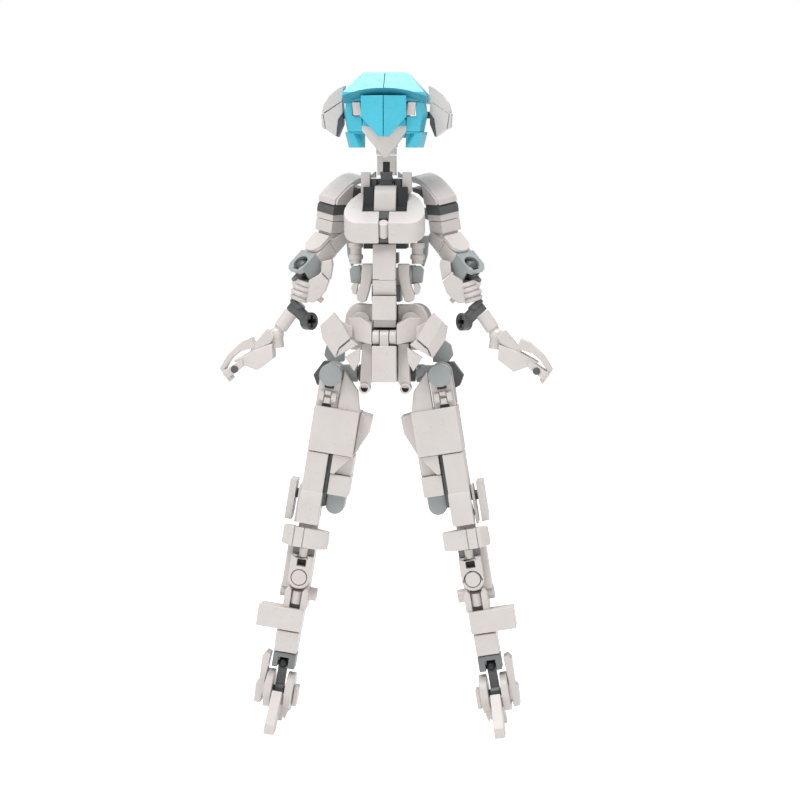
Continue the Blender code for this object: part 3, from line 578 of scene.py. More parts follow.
def make_breasts():
    upright = BREAST @ Matrix(((1, 0, 0, 0), (0, 1, WALL_LEAN, 0), (0, 0, 1, 0), (0, 0, 0, 1)))
    pair("breast", "chest", prism("XY", breast_outline(), -6.5, 0.0), WHITE, upright, 0.35,
         replaces=("breast",), sided=False)
    # Near-black painted shade behind and under the breasts
    dark = cube((1.8, -9.0, -6.4), (7.6, -0.6, -1.2))
    pair("breast_core", "chest", dark, PAINTED_SHADE, BREAST, 0.2, sided=False)
    brick("sternum_pin", "chest", cylinder((0, -14.1, -0.9), (0, -14.1, -5.2), 1.6), WHITE, upright, 0.2)
    brick("sternum_top", "chest", cube((-1.6, -12.2, -4.2), (1.6, -2.0, -1.0)), DARK, BREAST, 0.2)
    brick("sternum_foot", "chest", cube((-1.5, -15.2, -6.6), (1.5, -9.0, -5.4)), DARK, upright, 0.2)


def make_collar():
    pair("collar_tile", "chest", cube((5.6, -4.4, 188.3), (8.7, -2.9, 195.4)), WHITE, edge=0.2, sided=False)
    pair("collar_side", "chest", cube((5.7, -2.7, 188.5), (8.6, 0.6, 195.3)), WHITE, edge=0.25, sided=False)
    yoke = cube((-6.0, 3.2, 188.4), (6.0, 4.6, 193.2))
    brick("collar_yoke_plate", "chest", yoke, WHITE, edge=0.3, replaces=["collar_yoke"])
    pair("collar_strip", "chest", cube((5.7, 0.8, 188.8), (6.5, 2.4, 193.7)), WHITE, edge=0.2, sided=False)


def make_ribs():
    pin = cylinder((RIB_X, RIB_Y, 163.8), (RIB_X, RIB_Y, 171.0), 2.0)
    rings = [cylinder((RIB_X, RIB_Y, z), (RIB_X, RIB_Y, z + 1.7), 2.5) for z in (165.3, 169.3)]
    pair("rib_pin", "chest", pin, WHITE, edge=0.25, add=rings, replaces=("rib",), sided=False)
    slope = prism("XZ", [(10.4, 173.4), (10.4, 165.0), (12.6, 162.6), (13.9, 166.6), (14.4, 173.4)], 0.6, 4.4)
    pair("rib_slope", "chest", slope, LIGHT, edge=0.25, sided=False)
    grey = prism("XZ", [(9.0, 163.0), (11.8, 163.0), (12.8, 161.8), (12.3, 157.2), (9.0, 157.2)], -3.6, 1.2)
    pair("rib_block", "waist", grey, LIGHT, edge=0.3, sided=False)


def make_waist():
    slope = [(-9.9, 158.9), (-13.1, 158.9), (-13.1, 161.6), (-12.7, 165.4)]
    slope += [(-12.0, 168.6), (-11.2, 170.9), (-9.9, 170.9)]
    stomach = prism("YZ", slope, -TILE_HALF, TILE_HALF)
    brick("stomach_tile", "chest", stomach, WHITE, edge=0.3, replaces=["stomach_slope"])
    middle = [(-9.4, 153.4), (-11.2, 153.4), (-12.4, 155.4), (-12.7, 158.6), (-9.4, 158.6)]
    tile = prism("YZ", middle, -TILE_HALF, TILE_HALF)
    brick("waist_slope", "waist", tile, WHITE, edge=0.25, replaces=["abdomen_front"])
    base = cube((-5.0, -4.5, 150.7), (5.0, 5.0, 156.5))
    brick("waist_base", "waist", base, MIDDLE, edge=0.25, replaces=["abdomen_core"])
    ear = [(-3.0, 156.8), (3.0, 156.8)] + arc((0.0, WAIST_HINGE_Z), 3.3, -10, 190, 16)
    pair("waist_disc", "waist", prism("YZ", ear, 6.6, 10.0), WHITE, edge=0.25,
         cut=[cylinder((9.9, 0, WAIST_HINGE_Z), (12.0, 0, WAIST_HINGE_Z), 1.6)], sided=False)
    pair("waist_ear", "waist", cube((3.0, -3.0, 156.8), (6.3, 3.0, 162.4)), WHITE, edge=0.3, sided=False)
    outer = [(8.2, 164.0), (8.2, 160.4), (8.7, 157.0), (10.0, 153.6), (9.8, 151.4), (8.4, 150.6)]
    inner = [(6.7, 150.9), (5.6, 154.6), (4.5, 159.4), (4.2, 164.0)]
    pair("waist_bar", "waist", prism("XZ", outer + inner, -7.6, -4.2), WHITE, edge=0.5,
         replaces=("waist_arm",), sided=False)
    clip = prism("XZ", [(9.6, 156.8), (11.2, 157.3), (12.0, 155.8), (11.4, 153.6), (10.2, 153.2)], -6.4, -2.6)
    pair("waist_clip", "waist", clip, WHITE, edge=0.3, sided=False)


# Pelvis


def make_pelvis():
    core = cube((-8.0, -4.0, 129.0), (8.0, 6.0, 149.4))
    holes = [cylinder((x, 4.8, z), (x, 12.0, z), SOCKET_R) for x in (-4.0, 4.0) for z in (133.4, 141.4)]
    brick("hip_brick", "pelvis", core, DARK, edge=0.3, cut=holes, replaces=["pelvis_core"])
    brick("hip_lower", "pelvis", cube((-4.0, -4.0, 124.0), (4.0, 4.0, 128.7)), DARK, edge=0.3)
    brick("hip_axle", "pelvis", cylinder((-9.9, 0, HIP_Z), (9.9, 0, HIP_Z), 3.0), DARK, edge=0.25)
    tile = cube((-4.1, -13.2, 144.9), (4.1, -10.0, 153.1))
    brick("pelvis_tile", "pelvis", tile, WHITE, edge=0.3, replaces=["pelvis_front"])
    brick("pelvis_mount", "pelvis", cube((-3.8, -9.8, 142.2), (3.8, -4.8, 150.4)), WHITE, edge=0.25)
    brick("hinge_shadow", "pelvis", cube((-4.0, -7.6, 134.6), (4.0, -4.3, 141.4)), PAINTED_SHADE, edge=0.1)
    outer = [(12.5, -10.2, 138.2), (12.5, -10.2, 145.5), (8.4, -12.0, 145.8), (4.3, -11.0, 143.8)]
    skirt = outer + [(4.3, -13.2, 143.0), (4.3, -13.2, 136.4)]
    skirt += [(12.5, -7.6, 138.2), (12.5, -7.6, 145.5), (4.3, -7.6, 143.8), (4.3, -7.6, 136.4)]
    pair("skirt", "pelvis", hull(skirt), WHITE, edge=0.28, sided=False)
    y = FLAP_KNUCKLE_Y
    z = FLAP_HINGE_Z
    pair("hinge_knuckle", "pelvis", cylinder((1.75, y, z), (4.1, y, z), 2.5), WHITE, edge=0.25, sided=False)
    brick("hinge_pin", "pelvis", cylinder((-2.5, y + 0.3, z), (2.5, y + 0.3, z), 0.9), WHITE, edge=0.1)


def make_flap():
    tile = [(-13.9, 136.0), (-13.9, 124.1), (-13.3, 123.4), (-11.2, 123.4), (-11.2, 136.0)]
    brick("crotch_tile", "flap", prism("YZ", tile, -4.2, 4.2), WHITE, edge=0.3, replaces=["front_flap"])
    y = FLAP_KNUCKLE_Y
    z = FLAP_HINGE_Z
    knuckle = cylinder((-1.5, y, z), (1.5, y, z), 2.45)
    tab = cube((-1.5, -13.0, 135.4), (1.5, y, z))
    brick("flap_knuckle", "flap", knuckle, WHITE, edge=0.2, add=[tab])
    side_plate = [(4.5, 136.6), (7.9, 136.6), (8.7, 123.0), (8.0, 121.2), (6.0, 121.2), (4.5, 123.2)]
    pair("crotch_plate", "pelvis", prism("XZ", side_plate, -9.4, -4.4), WHITE, edge=0.3, sided=False)
    inner = cube((-4.2, -9.2, 123.4), (4.2, -5.8, 135.6))
    brick("crotch_inner", "pelvis", inner, WHITE, edge=0.3)
    x = CROTCH_TUBE_X
    z = CROTCH_TUBE_Z
    tube = cylinder((x, -10.4, z), (x, -3.8, z), 1.9)
    bore = cylinder((x, -12.0, z), (x, -4.2, z), 1.25)
    pair("crotch_tube", "pelvis", tube, WHITE, edge=0.12, cut=[bore], sided=False)


def make_hip_arches():
    ring = [(4.6, 142.8)] + arc((9.8, 144.6), 5.2, 178, 0, 18) + [(15.0, 139.2), (10.6, 137.6), (8.5, 138.6)]
    pair("hip_arch", "pelvis", prism("XZ", ring, 6.3, 9.4), WHITE, edge=0.35, sided=False)
    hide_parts("pelvis_arch")
    guard = [(4.1, 141.5), (4.1, 149.7), (10.2, 149.9), (12.4, 148.8), (14.0, 146.4)]
    guard += [(14.4, 143.2), (14.2, 138.4), (8.4, 138.4)]
    pair("hip_guard", "pelvis", prism("XZ", guard, -4.7, 2.4), WHITE, edge=0.45, sided=False)
    dome = [(5.0, 141.6)] + arc((8.6, 144.2), 3.2, 190, -10, 14) + [(11.8, 141.6)]
    pair("hip_dome", "pelvis", prism("XZ", dome, -7.4, -4.9), WHITE, edge=0.3, sided=False)
    brick("rear_bridge", "pelvis", cube((-8.2, 6.3, 137.8), (8.2, 10.9, 142.4)), WHITE, edge=0.3)
    block = cube((8.4, -3.8, 134.0), (12.4, 4.2, 140.8))
    pair("hip_arch_block", "pelvis", block, WHITE, edge=0.3, sided=False)


def make_side_armour():
    rim = [(17.0, 147.7), (22.0, 142.9), (21.2, 138.4), (16.8, 131.9)]
    rim += [(8.9, 136.5), (11.4, 138.4), (13.4, 141.0), (14.6, 144.4)]
    pair("armour_plate", "armour", prism("XZ", rim, -13.9, -12.7), WHITE, edge=0.2, replaces=("side_armour",))
    face = [(17.0, 147.7), (20.4, 144.4), (15.4, 135.4), (11.4, 138.8), (13.4, 141.2), (14.6, 144.4)]
    slope = [(x, -14.0, z) for x, z in face] + [(x * 0.98 + 0.3, -16.1, z * 0.98 + 2.8) for x, z in face]
    side_face = [(20.2, 144.4), (22.0, 142.9), (21.2, 138.4), (16.8, 132.3), (15.2, 135.3)]
    outer = [(x, -14.0, z) for x, z in side_face] + [(x, -16.0, z) for x, z in ((20.1, 143.9), (15.3, 135.5))]
    pair("armour_slope", "armour", hull(slope), WHITE, edge=0.12, add=[hull(outer)])
    low_face = [(15.2, 135.1), (16.3, 132.3), (8.9, 136.4), (11.2, 138.5)]
    low_front = [(15.1, 135.0), (15.6, 133.0), (9.5, 136.4), (11.25, 138.2)]
    low = [(x, -14.0, z) for x, z in low_face] + [(x, -15.8, z) for x, z in low_front]
    pair("armour_low", "armour", hull(low), WHITE, edge=0.12)
    outline = [(8.0, 135.6), (13.4, 132.3), (10.2, 127.4), (8.3, 130.8)]
    tip = [(x, -12.8, z) for x, z in outline] + [(x * 0.97 + 0.3, -15.2, z) for x, z in outline]
    pair("armour_tip", "armour", hull(tip), WHITE, edge=0.25)
    hanger = [(11.0, 138.6), (11.0, 142.6), (17.0, 145.6), (18.6, 143.0), (16.4, 141.0)]
    pair("armour_hanger", "pelvis", prism("XZ", hanger, -12.5, -11.0), WHITE, edge=0.25, sided=False)


# Arms


def make_shoulders():
    x = SHOULDER_X
    z = SHOULDER_Z
    disc = cylinder((9.2, SHOULDER_Y, z), (11.6, SHOULDER_Y, z), 2.6)
    web = cube((10.4, 8.7, 179.0), (x, 12.1, 183.0))
    knuckle = cylinder((x, 8.6, z), (x, 12.2, z), 3.0)
    bore = cylinder((x, 5.0, z), (x, 16.0, z), 1.7)
    pair("shoulder_joint", "shoulder", disc, LIGHT, edge=0.2, add=[web, knuckle], cut=[bore],
         replaces=("shoulder_hub",))
    steps = 18
    top = [ARMOUR_FRONT + ARMOUR_LENGTH * i / steps for i in range(steps + 1)]
    top = [(y, armour_height(y)) for y in top]
    under = [(y, max(z - 2.1, 0.0)) for y, z in reversed(top)]
    pair("arm_armour", "upper_arm", prism("YZ", top + under, -TILE_HALF, TILE_HALF), WHITE, ARM, 0.22,
         replaces=("shoulder_armour",))
    wall = [(y, z - 0.8) for y, z in top if -3.4 < y < 4.4] + [(4.0, 0.3), (-3.4, 0.3)]
    pair("arm_armour_wall", "upper_arm", prism("YZ", wall, -4.6, -3.8), WHITE, ARM, 0.15)
    for mark in ("l", "r"):
        keep("arm_band_" + mark, DARK)


def armour_height(y):
    """The shoulder armour's rounded top: steep at the front, nearly level at the back."""
    return ARMOUR_TOP - ARMOUR_DROP * (max(ARMOUR_BACK - y, 0.0) / ARMOUR_LENGTH) ** 2.0


def round_end(width, top, centre):
    """An outline in XZ with a square top and a half-round bottom."""
    return [(-width, top)] + arc((0.0, centre), width, 180, 360, 22) + [(width, top)]


def make_upper_arms():
    half = TILE_HALF
    pair("arm_plate", "upper_arm", cube((-half, -half, -5.6), (half, half, -2.95)), WHITE, ARM, 0.16,
         replaces=("upper_arm",))
    pair("arm_brick", "upper_arm", cube((-half, -half, -9.9), (half, half, -5.8)), WHITE, ARM, 0.2)
    pair("arm_joint_block", "upper_arm", cube((-3.5, -2.6, -13.0), (3.5, 3.2, -10.05)), WHITE, ARM, 0.25)
    tile = prism("XZ", round_end(half, 4.5, 0.45), -4.9, -3.35)
    pair("arm_round_tile", "upper_arm", tile, WHITE, LOW_ARM, 0.22)
    base = cube((-3.9, -3.15, -3.9), (3.9, 2.9, 3.0))
    stud = cylinder((0, -3.3, 0.4), (0, -3.0, 0.4), STUD_R)
    pair("arm_lower_brick", "upper_arm", base, WHITE, LOW_ARM, 0.25, add=[stud])
    upper = hull([(x, y, 3.2) for x in (-3.9, 3.9) for y in (-3.1, 2.9)]
                 + [(x, y, 10.4) for x in (-3.9, 3.9) for y in (-0.6, 2.9)])
    pair("arm_long_slope", "upper_arm", upper, WHITE, LOW_ARM, 0.25)


def make_elbows():
    outline = [(-3.9, -3.7), (3.9, -3.7), (3.9, -10.4), (2.6, -12.4), (-2.9, -12.4), (-3.9, -11.2)]
    cuts = [cube((-3.0, -2.7, -12.0), (3.0, 2.0, -5.6)), cube((-5.0, -2.3, -14.0), (5.0, 2.0, -11.0))]
    cuts.append(cylinder((-0.4, -5.0, -8.6), (-0.4, -2.0, -8.6), 2.75))
    cuts.append(cube((-2.2, -5.0, -11.9), (0.6, -2.0, -8.7)))
    pair("elbow_cup", "upper_arm", prism("XZ", outline, -4.0, 2.9), LIGHT, LOW_ARM, 0.3, cut=cuts,
         replaces=("elbow_socket",))
    link = cylinder((0, 0, -ELBOW_DOWN), (0, 0, -ELBOW_DOWN - 5.4), 1.5)
    pair("elbow_ball", "forearm", ball((-0.4, -1.9, -ELBOW_DOWN), 2.35), DARK, LOW_ARM, 0, add=[link],
         replaces=("forearm",))


def make_forearms():
    elbow = LOW_ARM @ Vector((0, 0, -ELBOW_DOWN - 5.0))
    middle = Vector((29.4, HAND_Y + 0.4, 153.9))
    run = Vector((0.30, 0.05, -0.95)).normalized()
    pair("forearm_bar", "forearm", cylinder(elbow, middle, 1.6), WHITE, edge=0.1)
    for index, (down, radius) in enumerate(((-3.3, 3.0), (-1.5, 3.3), (0.3, 3.5), (2.1, 3.1))):
        centre = middle + run * down
        rings = [cylinder(centre - run * 0.35, centre + run * 0.35, radius + 0.35)]
        disc = cylinder(centre - run * 0.85, centre + run * 0.85, radius)
        pair(f"forearm_ring_{index}", "forearm", disc, WHITE, edge=0.22, add=rings)
    outline = [(22.4, 160.6), (19.7, 157.9), (21.0, 154.2), (22.7, 152.2), (24.9, 150.4), (27.5, 150.6)]
    outline += [(27.4, 153.6), (26.6, 158.2)]
    chunk = loft(outline, HAND_Y - 2.2, [(x + 0.3, z) for x, z in outline], HAND_Y + 4.8)
    pair("forearm_slope", "forearm", chunk, WHITE, edge=0.35)
    foot = cylinder((22.9, HAND_Y + 2.0, 152.4), (24.0, HAND_Y + 2.0, 150.9), 1.5)
    pair("forearm_foot", "forearm", foot, WHITE, edge=0.2)
    plate = [(22.3, 164.6), (18.9, 165.4), (18.6, 163.3), (19.5, 158.2), (22.6, 160.9)]
    pair("forearm_inner_plate", "forearm", prism("XZ", plate, HAND_Y - 0.6, HAND_Y + 4.8), WHITE, edge=0.25)


def make_connectors():
    top = hinge("wrist_roll_l")
    run = Vector(JOINTS["wrist_roll_l"]["axis"]).normalized()
    start = Vector((30.4, HAND_Y + 1.2, 150.4))
    pair("wrist_collar", "forearm", cylinder(start, start + (top - start) * 0.45, 2.9), DARK, edge=0.3,
         replaces=("wrist_connector",))
    pair("wrist_sleeve", "forearm", cylinder(start, top + run * 0.7, 2.35), DARK, edge=0.25)
    facing = Vector((-0.8, -0.6, 0.0))
    across = Vector((0.6, -0.8, 0.0))
    centre = Vector((27.0, HAND_Y + 1.2, 143.9))
    place = Matrix((across, Vector((0, 0, 1)), facing)).transposed().to_4x4()
    place.translation = centre
    cross = [cube((-2.1, -0.7, -0.4), (2.1, 0.7, 4.0)), cube((-0.7, -2.1, -0.4), (0.7, 2.1, 4.0))]
    disc = cylinder((0, 0, -1.6), (0, 0, 1.6), 3.1)
    pair("wrist_cross_hole", "forearm", disc, DARK, place, 0.25, cut=cross)
    # Near-black painted shade at the floor of the cross hole
    pair("wrist_cross_floor", "forearm", cube((-1.9, -1.9, -0.5), (1.9, 1.9, -0.25)), PAINTED_SHADE, place, 0.02)
    arm = cylinder((31.6, HAND_Y + 1.5, 148.2), (28.3, HAND_Y + 1.2, 145.0), 2.2)
    pair("wrist_elbow", "forearm", arm, DARK, edge=0.3)


def make_hands():
    top = hinge("wrist_roll_l")
    run = Vector(JOINTS["wrist_roll_l"]["axis"]).normalized()
    tube = cylinder(top + run * 1.0, top + run * 7.6, 2.5)
    neck = cylinder(top + run * 7.0, top + run * 9.4, 2.0)
    pair("wrist_tube", "hand", tube, WHITE, edge=0.3, add=[neck], replaces=("palm",))
    y = HAND_Y
    ring = cylinder((38.6, y + 0.4, 140.4), (38.0, y + 0.4, 134.6), 2.5)
    pair("hand_ring", "hand", ring, WHITE, edge=0.3, add=[ball((38.4, y + 0.4, 139.0), 2.75)])
    side_view = [(41.2, 141.4), (38.6, 138.9), (39.8, 136.4), (44.0, 134.4), (47.0, 132.9), (46.6, 135.0)]
    bar = [(x, y + d, z) for d in (-3.4, 2.2) for x, z in side_view]
    pair("hand_bar", "hand", hull(bar), WHITE, edge=0.4)
    wedge = [(52.9, y + d, 130.2) for d in (-3.6, 3.6)] + [(47.4, y + d, 133.4) for d in (-3.2, 3.2)]
    wedge += [(39.2, y + d, 136.4) for d in (-4.2, 4.8)] + [(38.9, y + d, 131.2) for d in (-5.2, 5.0)]
    wedge += [(44.4, y + d, 127.0) for d in (-5.2, 5.0)]
    pair("palm_wedge", "hand", hull(wedge), WHITE, edge=0.22)
    pivot = hinge("finger_open_l")
    for name, low, high in (("front", -5.2, -4.1), ("back", 4.1, 5.2)):
        cheek = [(49.6, 131.0), (49.2, 128.6), (53.0, 125.6)] + arc((pivot.x, pivot.z), 1.5, -120, 80, 8)
        pair("hand_cheek_" + name, "hand", prism("XZ", cheek, y + low, y + high), WHITE, edge=0.2)
    pin = cylinder((pivot.x, y - 5.3, pivot.z), (pivot.x, y + 5.5, pivot.z), 0.7)
    pair("finger_pin", "hand", pin, WHITE, edge=0.05)
    pair("finger_knob", "hand", cylinder((52.2, y - 5.6, 127.4), (52.2, y - 4.0, 127.4), 1.3), DARK, edge=0.2)
    outline = [(45.2, 135.0), (46.6, 138.4), (50.0, 136.9), (55.0, 132.2), (57.7, 127.6), (54.3, 122.7)]
    outline += [(53.2, 124.1), (55.9, 127.3), (53.4, 131.2), (50.6, 133.4)]
    slab = prism("XZ", outline, y - 3.8, y + 3.8)
    pair("finger_slab", "fingers", slab, WHITE, edge=0.28, replaces=("fingers",))


# Legs


def make_hips():
    for mark in ("l", "r"):
        keep("hip_hub_" + mark, LIGHT)
    x = HIP_TILE_X
    z = HIP_TILE_Z
    disc = cylinder((x, -10.2, z), (x, -7.4, z), TILE_HALF, sides=56)
    pair("hip_round_tile", "thigh", disc, LIGHT, LEG, 0.3, replaces=("hip_tile",))
    for name, low, high in (("front", -6.9, -3.1), ("rear", 3.1, 6.7)):
        shape = prism("XZ", [(0.2, 8.3), (7.8, 8.3)] + arc((x, z), 3.8, 0, 180, 16), low, high)
        pair("hip_ear_" + name, "thigh", shape, WHITE, LEG, 0.3)
    pair("hip_pin", "thigh", cylinder((x, -6.0, z), (x, 7.2, z), PIN_R), DARK, LEG, 0.1)
    z = HIP_KNUCKLE_Z
    for name, near, far in (("out", 5.3, 7.1), ("in", 0.9, 2.7)):
        knuckle = cylinder((near, -6.9, z), (far, -6.9, z), 2.0)
        pair("hip_knuckle_" + name, "thigh", knuckle, WHITE, LEG, 0.2)
    pair("hip_knuckle_mid", "thigh", cube((2.9, -8.3, 9.6), (5.1, -6.7, 11.6)), WHITE, LEG, 0.2)
    pair("hip_knuckle_bar", "thigh", cube((2.9, -8.4, 12.6), (5.1, -6.8, 14.0)), WHITE, LEG, 0.2)
    # Near-black painted shade in the slots of the hip knuckles
    for index, z in enumerate((15.3, 8.6)):
        pair(f"hip_slot_{index}", "thigh", cube((2.4, -7.4, z - 0.5), (5.6, -6.7, z + 0.7)), PAINTED_SHADE, LEG, 0.05)
    block = [(15.6, 134.0), (18.8, 137.4), (21.8, 135.2), (22.6, 131.4), (21.0, 129.2), (15.6, 129.2)]
    pair("hip_rear_block", "thigh", prism("XZ", block, 4.6, 10.2), LIGHT, edge=0.35)
    wedge = [(19.8, 129.0), (22.8, 129.4), (26.4, 124.6), (25.2, 121.2), (22.4, 119.6), (20.2, 123.4)]
    pair("hip_rear_wedge", "thigh", prism("XZ", wedge, 4.4, 10.0), DARK, edge=0.3)


def make_thighs():
    slope = [(-0.2, -6.4, 21.6), (-6.0, -6.4, 15.4), (-7.7, -8.3, 8.3), (-0.2, -8.3, 8.3)]
    slope += [(x, -3.6, z) for x, _, z in slope]
    pair("thigh_slope", "thigh", hull(slope), WHITE, LEG, 0.25, replaces=("thigh",))
    pair("thigh_panel", "thigh", cube((-7.9, -9.4, -7.4), (7.9, -6.5, 8.4)), WHITE, LEG, 0.35)
    studs = [cylinder((x, 7.5, z), (x, 9.6, z), STUD_R) for x in (-4.0, 4.0) for z in (-4.0, 4.0)]
    pair("thigh_brick", "thigh", cube((-7.85, -6.3, -7.85), (7.85, 7.8, 7.85)), WHITE, LEG, 0.3, add=studs)
    wedge = [(-8.0, 7.8), (-11.9, 7.2), (-11.7, 1.2), (-8.0, -7.4)]
    pair("thigh_wedge", "thigh", prism("XZ", wedge, -5.4, 5.0), WHITE, LEG, 0.3)
    pair("thigh_outer_tile", "thigh", cube((0.5, -9.0, -21.8), (7.9, -6.6, -7.7)), WHITE, LEG, 0.3)
    pair("thigh_outer_brick", "thigh", cube((0.5, -6.4, -25.5), (7.8, 5.6, -8.2)), WHITE, LEG, 0.3)
    inner = [(-7.4, -7.6), (-1.0, -7.6), (-1.0, -14.3), (-2.4, -14.3)]
    pair("thigh_inner_slope", "thigh", prism("XZ", inner, -8.2, -5.6), WHITE, LEG, 0.2)
    pair("thigh_inner_rear", "thigh", cube((-8.2, -5.4, -14.4), (-1.1, 5.2, -7.6)), WHITE, LEG, 0.25)
    pair("thigh_inner_brick", "thigh", cube((-8.2, -7.4, -21.8), (-1.0, 5.2, -14.6)), WHITE, LEG, 0.3)
    pair("thigh_strip", "thigh", cube((-0.8, -6.6, -26.4), (0.3, 5.0, -8.0)), DARK, LEG, 0.15,
         replaces=("thigh_core",))
    end = [(-7.4, -22.0), (-7.4, -25.6)] + arc((-4.1, -25.4), 3.3, 190, 350, 14)
    end += [(-0.95, -25.6), (-0.95, -22.0)]
    pair("knee_end", "thigh", prism("XZ", end, -4.6, 3.8), LIGHT, LEG, 0.35)
    z = LEG_UP_AT_KNEE
    pair("knee_pin", "thigh", cylinder((0.6, 0, z), (7.8, 0, z), PIN_R), DARK, LEG, 0.1)
    tile = [(-5.5, -21.4), (-9.0, -21.4), (-10.2, -24.0), (-10.6, -28.0), (-9.8, -32.9), (-5.5, -32.9)]
    pair("knee_tile", "thigh", prism("YZ", tile, 0.3, 7.9), WHITE, LEG, 0.3)
    pair("knee_fin", "thigh", cube((8.2, -5.0, -33.6), (9.1, 4.2, -20.2)), WHITE, LEG, 0.2)
    guard = [(-4.2, -18.9), (-4.6, -31.4), (-3.6, -33.2), (3.2, -33.2), (4.6, -30.0), (4.2, -18.9)]
    pair("knee_guard", "thigh", prism("YZ", guard, 10.2, 12.7), WHITE, LEG, 0.2)
    pair("knee_peg", "thigh", cylinder((7.6, 0, -24.0), (10.2, 0, -24.0), 1.7), DARK, LEG, 0.15)


def make_shins():
    middle = cube((4.7, -9.2, -41.5), (7.9, -6.2, -34.5))
    pair("shin_collar_mid", "shin", middle, WHITE, LEG, 0.2, replaces=("shin",))
    for name, near, bend, far in (("out", 8.0, 9.2, 12.1), ("in", 4.6, -0.4, -4.1)):
        points = [(x, y, z) for x in (near, bend) for y in (-9.2, -4.6) for z in (-41.5, -34.5)]
        points += [(far, y, z) for y in (-7.2, -4.6) for z in (-41.2, -34.8)]
        pair("shin_collar_" + name, "shin", hull(points), WHITE, LEG, 0.45)
    pair("shin_collar_plate", "shin", cube((-3.6, -6.0, -41.3), (11.6, 4.0, -38.1)), WHITE, LEG, 0.3)
    pair("shin_neck", "shin", cube((0.8, -1.8, -39.0), (7.5, 2.6, -31.0)), WHITE, LEG, 0.3)
    z = LEG_UP_AT_KNEE
    pair("shin_knuckle", "shin", cylinder((0.6, 0, z), (7.6, 0, z), 3.2), WHITE, LEG, 0.3)
    x = SHIN_RING_X
    z = SHIN_RING_Z
    ring = [(0.1, -44.6)] + arc((x, z), TILE_HALF, 180, 360, 20) + [(8.0, -44.6)]
    window = [cube((2.4, -9.0, -48.4), (5.6, -3.0, -45.9)), cube((2.2, -9.0, -45.4), (5.9, -5.4, -42.0))]
    window.append(cylinder((x, -9.0, z), (x, -5.6, z), 2.85))
    pair("shin_upper", "shin", prism("XZ", ring, -7.0, -3.4), WHITE, LEG, 0.3, cut=window)
    # Near-black painted shade behind the shin's window
    pair("shin_window", "shin", cube((2.0, -3.9, -48.8), (6.0, -3.5, -45.6)), PAINTED_SHADE, LEG, 0.02)
    pair("shin_top_knob", "shin", cylinder((x, -5.2, -45.2), (x, -5.2, -41.9), 1.5), WHITE, LEG, 0.25)
    pair("shin_top_gap", "shin", cube((0.3, -4.6, -44.4), (7.9, -3.6, -41.8)), MIDDLE, LEG, 0.1)
    pair("shin_back", "shin", cube((0.2, -3.2, -57.0), (10.0, 4.6, -41.7)), WHITE, LEG, 0.3)
    pair("shin_round_tile", "shin", cylinder((x, -7.3, z), (x, -4.0, z), 2.6), WHITE, LEG, 0.3)
    for name, low, high in (("in", -0.1, 2.2), ("out", 5.9, 8.2)):
        fork = [(low, -63.8), (low, -57.4)] + [((low + high) / 2, -55.6), (high, -57.4), (high, -63.8)]
        pair("shin_fork_" + name, "shin", prism("XZ", fork, -6.4, 4.4), WHITE, LEG, 0.4)
    pair("shin_fork_bar", "shin", cylinder((x, -4.2, -57.6), (x, -4.2, -62.2), 1.7), WHITE, LEG, 0.2)
    pair("shin_fork_core", "shin", cube((2.4, -4.6, -64.0), (5.7, 4.2, -62.4)), DARK, LEG, 0.2)
    z = SHIN_AXLE_Z
    hole = [cylinder((9.6, 0, z), (12, 0, z), 1.3), cylinder((-4, 0, z), (-1.8, 0, z), 1.3)]
    pair("shin_axle", "shin", cylinder((-2.6, 0, z), (10.4, 0, z), SHIN_AXLE_R), WHITE, LEG, 0.3, cut=hole)
    pair("calf_tile", "shin", cube((0.6, -8.2, -71.4), (16.4, -5.4, -63.6)), WHITE, LEG, 0.35)
    studs = [cylinder((stud_x, 3.0, -68.0), (stud_x, 5.2, -68.0), STUD_R) for stud_x in (4.5, 12.5)]
    pair("calf_brick", "shin", cube((0.7, -5.2, -71.7), (16.3, 3.4, -64.3)), WHITE, LEG, 0.3, add=studs)
    lower = [(1.0, -6.6, -72.1), (9.0, -6.6, -72.1), (1.0, -4.6, -79.8), (9.0, -4.6, -79.8)]
    lower += [(x, 4.6, z) for x, _, z in lower]
    pair("ankle_slope", "shin", hull(lower), WHITE, LEG, 0.3)


